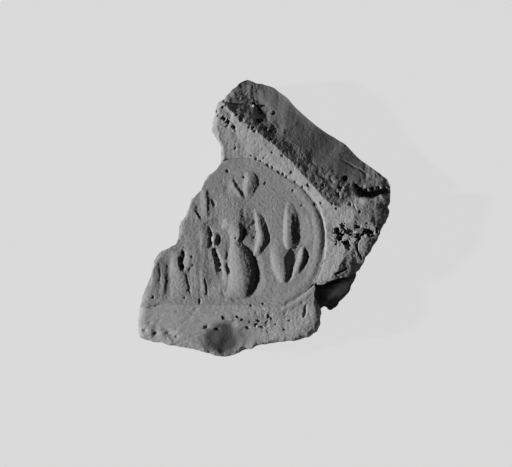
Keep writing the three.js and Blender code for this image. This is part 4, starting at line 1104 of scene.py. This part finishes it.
# %% Seams
GROUND = [(282.3, 306.5), (262, 306.5), (230, 305), (200, 305), (168, 305), (140, 307), (120, 308)]
FOLD = [
    (300, 204), (309, 198), (321, 194), (334, 190), (352, 188), (364, 196), (376, 195), (400, 194),
]
CORNER = [
    (303, 282), (316, 285), (323, 284.5), (331, 280.5), (340, 278), (349, 277), (357, 272),
    (385, 254),
]
CORNER_SIDE = [(303, 282), (316, 286), (315, 298), (319, 305), (322, 312), (330, 330)]
CHIP = [(390, 223), (372, 232), (364, 234), (357, 241), (357, 248), (362, 257), (376, 275)]

border = from_pixels(around(BORDER, 5, False))
ground, fold, corner = from_pixels(GROUND), from_pixels(FOLD), from_pixels(CORNER)
corner_side, chip_crack = from_pixels(CORNER_SIDE), from_pixels(CHIP)
print("seams", len(border), len(ground), len(fold), len(corner), len(chip_crack))

# %% [markdown]
# ## The seal's face
# The slab of fine clay that took the impression, from the broken left side to the border.

# %% Seal face
seal_face = wad("seal_face_clay", (233, 239), [border, ground],
                spokes=610, top_count=140, wall_count=16)
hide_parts("seal_face")

# %% [markdown]
# ## The rolled edge
# The slab was folded up and over along the top right. It runs from its broken end at the upper
# left to the fold above the crater.

# %% Rolled edge
rim_roll = wad("rim_roll_clay", (300, 140), [border, fold],
               spokes=560, top_count=120, wall_count=26)
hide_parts("rim_roll")

# %% [markdown]
# ## The side lump, the chip and the lip
# A lump of clay squeezed out at the right of the seal, cracked where a grain fell out. The crack
# cut a chip loose. Along the bottom the clay is a low broken lip.

# %% Side lump, chip and lip
side_lump = wad("side_lump_clay", (338, 238), [border, fold, corner, chip_crack],
                spokes=420, top_count=90, wall_count=26)
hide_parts("side_lump")
edge_chip = wad("edge_chip_clay", (366, 244), [chip_crack], spokes=240, top_count=40, wall_count=20)
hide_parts("edge_chip")
bottom_lip = wad("bottom_lip_clay", (262, 327), [border, ground, corner_side],
                 spokes=620, top_count=70, wall_count=20)
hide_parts("bottom_lip")

# %% [markdown]
# ## The backing wad
# The thick wad that was pressed over the string. It shows at the broken corner, where its top is
# torn clay, and from the side, where it rounds under to a flat back. The string left a channel.

# %% Backing wad
RECESS = [
    (317, 287), (316, 298), (320, 305), (323, 312), (332, 332), (400, 332), (400, 240), (358, 273),
    (349, 278), (341, 279), (332, 282), (324, 286),
]
CHANNEL_RADIUS = 1.0
CHANNEL_AT = (0.0, -2.88)
CHANNEL_TURN = 0.18
CHANNEL_SIDE = 0.8
BACK_SWELLS = 0.02
FOOT_INSET = 2.6
FOOT_POWER = 4.5
DRAWN_BY_LUMPS = 0.35
TORN_BORDER = 0.7
HUMP_SPOT = (342, 280, 26)
HUMP_HEIGHT = 1.6
HUMP_LUMPS = 0.3
HUMP_PORES = 0.5
HUMP_SHARE = 0.9
HUMP_FOOT = 1.9
EDGE_DROP = 0.2
BACK_SPOKES = 600
BACK_TOP_COUNT = 70
BACK_WALL_COUNT = 30
BACK_FLOOR_COUNT = 60


def back_top(x, y):
    """Top of the backing wad: on the seam, and in the broken corner a torn hump with pores."""
    torn = inside_share(x, y, RECESS, TORN_BORDER)
    height = HUMP_HEIGHT * zone(x, y, [HUMP_SPOT]) + HUMP_LUMPS * rough_noise(x, y, 1.3, 151, 4)
    height = height - HUMP_PORES * pores(x, y, 0.9, 0.6, 0.15, 0.4, 161)
    edge = HUMP_SHARE * smooth_step(0, HUMP_FOOT, edge_distance(x, y))
    return seam_height(x, y) - SEAM_GAP / 2 + torn * (height * edge - EDGE_DROP * (1 - edge))


def edge_distance(x, y):
    """Distance in from the outline, measured along the spoke."""
    turn, far = seen_from(HUB, x, y)
    return np.clip(read_off(outline_spokes, turn) - far, 0, None)


def back_floor(x, y):
    """Flat back with the string's channel: a half round, the root of the squared radius less the
    squared distance from the string's line. Beside the channel the back is a little uneven."""
    across = (y - CHANNEL_AT[1]) * np.cos(CHANNEL_TURN) - (x - CHANNEL_AT[0]) * np.sin(CHANNEL_TURN)
    inside = np.clip(CHANNEL_RADIUS**2 - across**2, 0, None)
    beside = smooth_step(0, CHANNEL_SIDE, np.abs(across) - CHANNEL_RADIUS)
    return np.sqrt(inside) + BACK_SWELLS * (1 + soft_noise(x, y, 1.4, 171)) * beside


def back_inset(share):
    """How far the wad's side has drawn in on its way down: slowly, then round under the foot. It
    starts where the upper wads end, and at the outline in the broken corner."""
    return SEAM_INSET * covered + FOOT_INSET * share**FOOT_POWER


back_plan = plan_of(HUB, [], BACK_SPOKES)
back_edge = back_plan[:, :2]
covered = 1 - inside_share(back_edge[:, 0], back_edge[:, 1], RECESS, TORN_BORDER)
back_rim = back_top(back_edge[:, 0], back_edge[:, 1])
under = back_edge - from_hub(back_edge) * (FOOT_INSET + DRAWN_BY_LUMPS)
back_base = back_floor(under[:, 0], under[:, 1])
back_brim = wall_ring(back_plan, back_rim, back_base, 0, back_inset, covered)[:, :2]
back_rings = [pole_at(HUB, back_top)]
back_rings += [ring_at(HUB, back_brim, s, back_top)
               for s in np.linspace(0, 1, BACK_TOP_COUNT + 1)[1:]]
back_rings += wall_rings(back_plan, back_rim, back_base, BACK_WALL_COUNT, back_inset, covered)
back_foot = back_rings[-1][:, :2]
back_rings += [ring_at(HUB, back_foot, s, back_floor)
               for s in np.linspace(1, 0, BACK_FLOOR_COUNT + 1)[1:-1]]
back_rings.append(pole_at(HUB, back_floor))
back_wad = piece_from_rings("back_wad_clay", back_rings)
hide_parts("back_wad")

# %% [markdown]
# ## Grit
# Pale grains of crushed stone in the clay. Each is a small ball, dented by noise along its own
# normal and stretched, lying where the CAD has it.

# %% Grit
GRIT_SIDES = 28
GRIT_RINGS = 18
GRIT_SHARE = 0.94
GRIT_DENT = 0.11


def grit(node, seed):
    """A grain that nearly fills its node's box: a ball whose radius varies with noise, as a grid
    of turns and tilts."""
    low, high = np.array(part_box(node)) / MM
    middle, size = (low + high) / 2, (high - low) / 2 * GRIT_SHARE
    turn = np.linspace(0, 2 * np.pi, GRIT_SIDES, endpoint=False)
    rings = []
    for tilt in np.linspace(0, np.pi, GRIT_RINGS):
        flat = np.sin(tilt)
        ball = np.column_stack([flat * np.cos(turn), flat * np.sin(turn),
                                np.full(GRIT_SIDES, np.cos(tilt))])
        bump = soft_noise(ball[:, 0] + ball[:, 2], ball[:, 1] - ball[:, 2] * 0.7, 0.8, seed)
        rings.append(middle + ball * size * (1 - GRIT_DENT * (1 + bump))[:, None])
    rings[0], rings[-1] = rings[0][:1], rings[-1][:1]
    name = node.replace("grit_grain", "grit") + "_stone"
    piece = piece_from_rings(name, rings)
    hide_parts(node)
    return piece


grains = [grit(node, 200 + i)
          for i, node in enumerate(sorted(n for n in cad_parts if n.startswith("grit")))]

# %% [markdown]
# ## Materials
# Dry clay is nearly matt, mid grey, clouded and speckled with fine temper, and the lip's dent has
# painted shade. Shader formulas are written with a small class whose sums and products add the nodes.


# %% Shader values
class Value:
    """A socket of a shader's node tree. Arithmetic on values adds Math nodes, and every other
    node comes from one method, so a material reads like the formula it stands for."""

    def __init__(self, tree, socket=None):
        self.tree, self.socket = tree, socket

    def node(self, kind, inputs, output=0, **settings):
        made = self.tree.nodes.new(kind)
        for key, value in settings.items():
            setattr(made, key, value)
        for key, value in inputs.items():
            if isinstance(value, Value):
                self.tree.links.new(value.socket, made.inputs[key])
            else:
                made.inputs[key].default_value = value
        return Value(self.tree, made.outputs[output] if made.outputs else None)

    def math(self, operation, first, second):
        return self.node("ShaderNodeMath", {0: first, 1: second}, operation=operation)

    def __add__(self, other):
        return self.math("ADD", self, other)

    def __sub__(self, other):
        return self.math("SUBTRACT", self, other)

    def __rsub__(self, other):
        return self.math("SUBTRACT", other, self)

    def __mul__(self, other):
        return self.math("MULTIPLY", self, other)

    def __gt__(self, other):
        return self.math("GREATER_THAN", self, other)

    __radd__ = __add__
    __rmul__ = __mul__

    def ramp(self, low, high):
        """0 at low, 1 at high, smooth between them."""
        return self.node("ShaderNodeMapRange", {0: self, 1: low, 2: high},
                         interpolation_type="SMOOTHSTEP")


def noise(place, size, detail=3, rough=0.55):
    """Noise from 0 to 1 whose bumps are about size millimetres wide."""
    return place.node("ShaderNodeTexNoise", {"Vector": place, "Scale": 1 / (size * MM),
                                             "Detail": detail, "Roughness": rough})


def dots(place, spacing, width, share):
    """Round dots, 1 inside: cells of a Voronoi pattern whose random colour is below the share and
    whose middle is nearer than half the width."""
    cell = {"Vector": place, "Scale": 1 / (spacing * MM)}
    far = place.node("ShaderNodeTexVoronoi", cell, output="Distance")
    tint = place.node("ShaderNodeTexVoronoi", cell, output="Color")
    pick = place.node("ShaderNodeSeparateColor", {"Color": tint}, output=0)
    return (1 - far.ramp(width / spacing * 0.3, width / spacing * 0.5)) * (1 - (pick > share))


def painted_shade_spot(place, at_x, at_y, wide, high):
    """A soft spot of painted shade with a ragged edge, 1 in its middle: one less the distance from
    it over its half width and height, with noise added."""
    middle = from_pixels([at_x, at_y]) * MM
    away = place.node("ShaderNodeVectorMath", {0: place, 1: (middle[0], middle[1], 0.0)},
                      operation="SUBTRACT")
    size = (1 / (px(wide) * MM), 1 / (px(high) * MM), 0.0)
    away = place.node("ShaderNodeVectorMath", {0: away, 1: size}, operation="MULTIPLY")
    far = place.node("ShaderNodeVectorMath", {0: away}, output="Value", operation="LENGTH")
    return 1 - (far + 0.5 * noise(place, 1.2)).ramp(0.75, 1.25)


BUMP_DEPTH = 0.05
SHEEN = 0.25


def clay_material(name, grey, clouding, roughness, tooth=1, painted_shade=None):
    """Matt clay: its grey times clouds of two sizes, with dark and pale specks, and a fine bump as
    strong as its tooth. It may have a spot of painted shade, which takes a share of the grey away."""
    material = bpy.data.materials.new(name)
    material.use_nodes = True
    tree = material.node_tree
    tree.nodes.clear()
    start = Value(tree)
    place = start.node("ShaderNodeTexCoord", {}, output="Object")
    clouds = noise(place, 5) * 0.6 + noise(place, 0.9) * 0.4
    tone = grey * (1 + clouding * (clouds - 0.5))
    dark, pale = dots(place, 0.55, 0.2, 0.22), dots(place, 0.8, 0.16, 0.12)
    tone = tone * (1 - 0.35 * dark) + pale * (grey * 0.45)
    tone = tone * (0.8 + 0.4 * noise(place, 0.3, 2))
    # Painted shade: a dark spot that takes a share of the grey away
    if painted_shade:
        tone = tone * (1 - painted_shade[0] * painted_shade_spot(place, *painted_shade[1:]))
    height = noise(place, 0.2, 3, 0.6) + 0.6 * noise(place, 0.45, 2)
    bump = start.node("ShaderNodeBump", {"Height": height, "Distance": BUMP_DEPTH * MM,
                                         "Strength": tooth})
    shade = start.node("ShaderNodeBsdfPrincipled", {
        "Base Color": tone, "Normal": bump, "Roughness": roughness, "Specular IOR Level": SHEEN})
    start.node("ShaderNodeOutputMaterial", {"Surface": shade})
    return material


# Grey, how strongly it is clouded, and roughness
DRY = (0.24, 0.35, 0.92)
PRESSED = (0.195, 0.5, 0.9)
BACK = (0.25, 0.4, 0.95)
GRIT = (0.3, 0.3, 0.7)
ROLLED_TOOTH = 0.6
# Painted shade in the lip's dent: the share of the grey that it takes away, its middle, and half its
# width and height
DENT_PAINTED_SHADE = (0.6, 223, 338, 28, 21)

dry_clay = clay_material("dry_clay_look", *DRY)
rolled_clay = clay_material("rolled_clay_look", *DRY, ROLLED_TOOTH)
# The lip's clay has painted shade in its dent, where the dent falls away from the lamp
lip_painted_shade_clay = clay_material("touched_clay_look", *DRY, painted_shade=DENT_PAINTED_SHADE)
pressed_clay = clay_material("pressed_clay_look", *PRESSED)
back_clay = clay_material("back_clay_look", *BACK)
pale_grit = clay_material("pale_grit_look", *GRIT)
for piece, look in ((seal_face, pressed_clay), (rim_roll, rolled_clay), (side_lump, dry_clay),
                    (edge_chip, dry_clay), (bottom_lip, lip_painted_shade_clay)):
    piece.data.materials.append(look)
back_wad.data.materials.append(back_clay)
for piece in grains:
    piece.data.materials.append(pale_grit)
for piece in [seal_face, rim_roll, side_lump, edge_chip, bottom_lip, back_wad] + grains:
    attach(piece, "root")
print("materials", [m.name for m in bpy.data.materials])

# %% [markdown]
# ## Table and light
# The photograph was lit by one low lamp on the left, so that the worn relief shows. The table is
# plain and pale, lies under the whole picture and bounces light up on the shaded side. What the
# camera sees of it directly is mostly its own glow, so that it stays even, with a faint shadow.

# %% Table and light
TABLE_GREY = 0.7
TABLE_BOUNCE = 0.7
TABLE_HALF = 1.5
SUN_ELEVATION = 28.0
SUN_DIRECTION = 181.5
SUN_ANGLE = 3.0
SUN_STRENGTH = 6.4
SKY_STRENGTH = 0.02
GLOW_SHARE = 0.96

table_mesh = bpy.data.meshes.new("table")
table_mesh.from_pydata([(-TABLE_HALF, -TABLE_HALF, 0), (TABLE_HALF, -TABLE_HALF, 0),
                        (TABLE_HALF, TABLE_HALF, 0), (-TABLE_HALF, TABLE_HALF, 0)],
                       [], [(0, 1, 2, 3)])
table = put("table", table_mesh)

table_look = bpy.data.materials.new("table_look")
table_look.use_nodes = True
table_look.node_tree.nodes.clear()
start = Value(table_look.node_tree)
seen = start.node("ShaderNodeLightPath", {}, output="Is Camera Ray")
matt = start.node("ShaderNodeBsdfDiffuse", {"Color": (TABLE_BOUNCE,) * 3 + (1,)})
glow = start.node("ShaderNodeEmission", {"Color": (TABLE_GREY,) * 3 + (1,)})
mixed = start.node("ShaderNodeMixShader", {0: seen * GLOW_SHARE, 1: matt, 2: glow})
start.node("ShaderNodeOutputMaterial", {"Surface": mixed})
table_mesh.materials.append(table_look)

sun_data = bpy.data.lights.new("low_lamp", "SUN")
sun_data.energy = SUN_STRENGTH
sun_data.angle = np.radians(SUN_ANGLE)
sun = put("low_lamp", sun_data)
sun.rotation_euler = (0, np.radians(90 - SUN_ELEVATION), np.radians(SUN_DIRECTION))

world = bpy.data.worlds.new("soft_fill")
world.use_nodes = True
sky = world.node_tree.nodes["Background"].inputs
sky["Color"].default_value = (1, 1, 1, 1)
sky["Strength"].default_value = SKY_STRENGTH
bpy.context.scene.world = world
bpy.context.scene.view_settings.view_transform = "Standard"
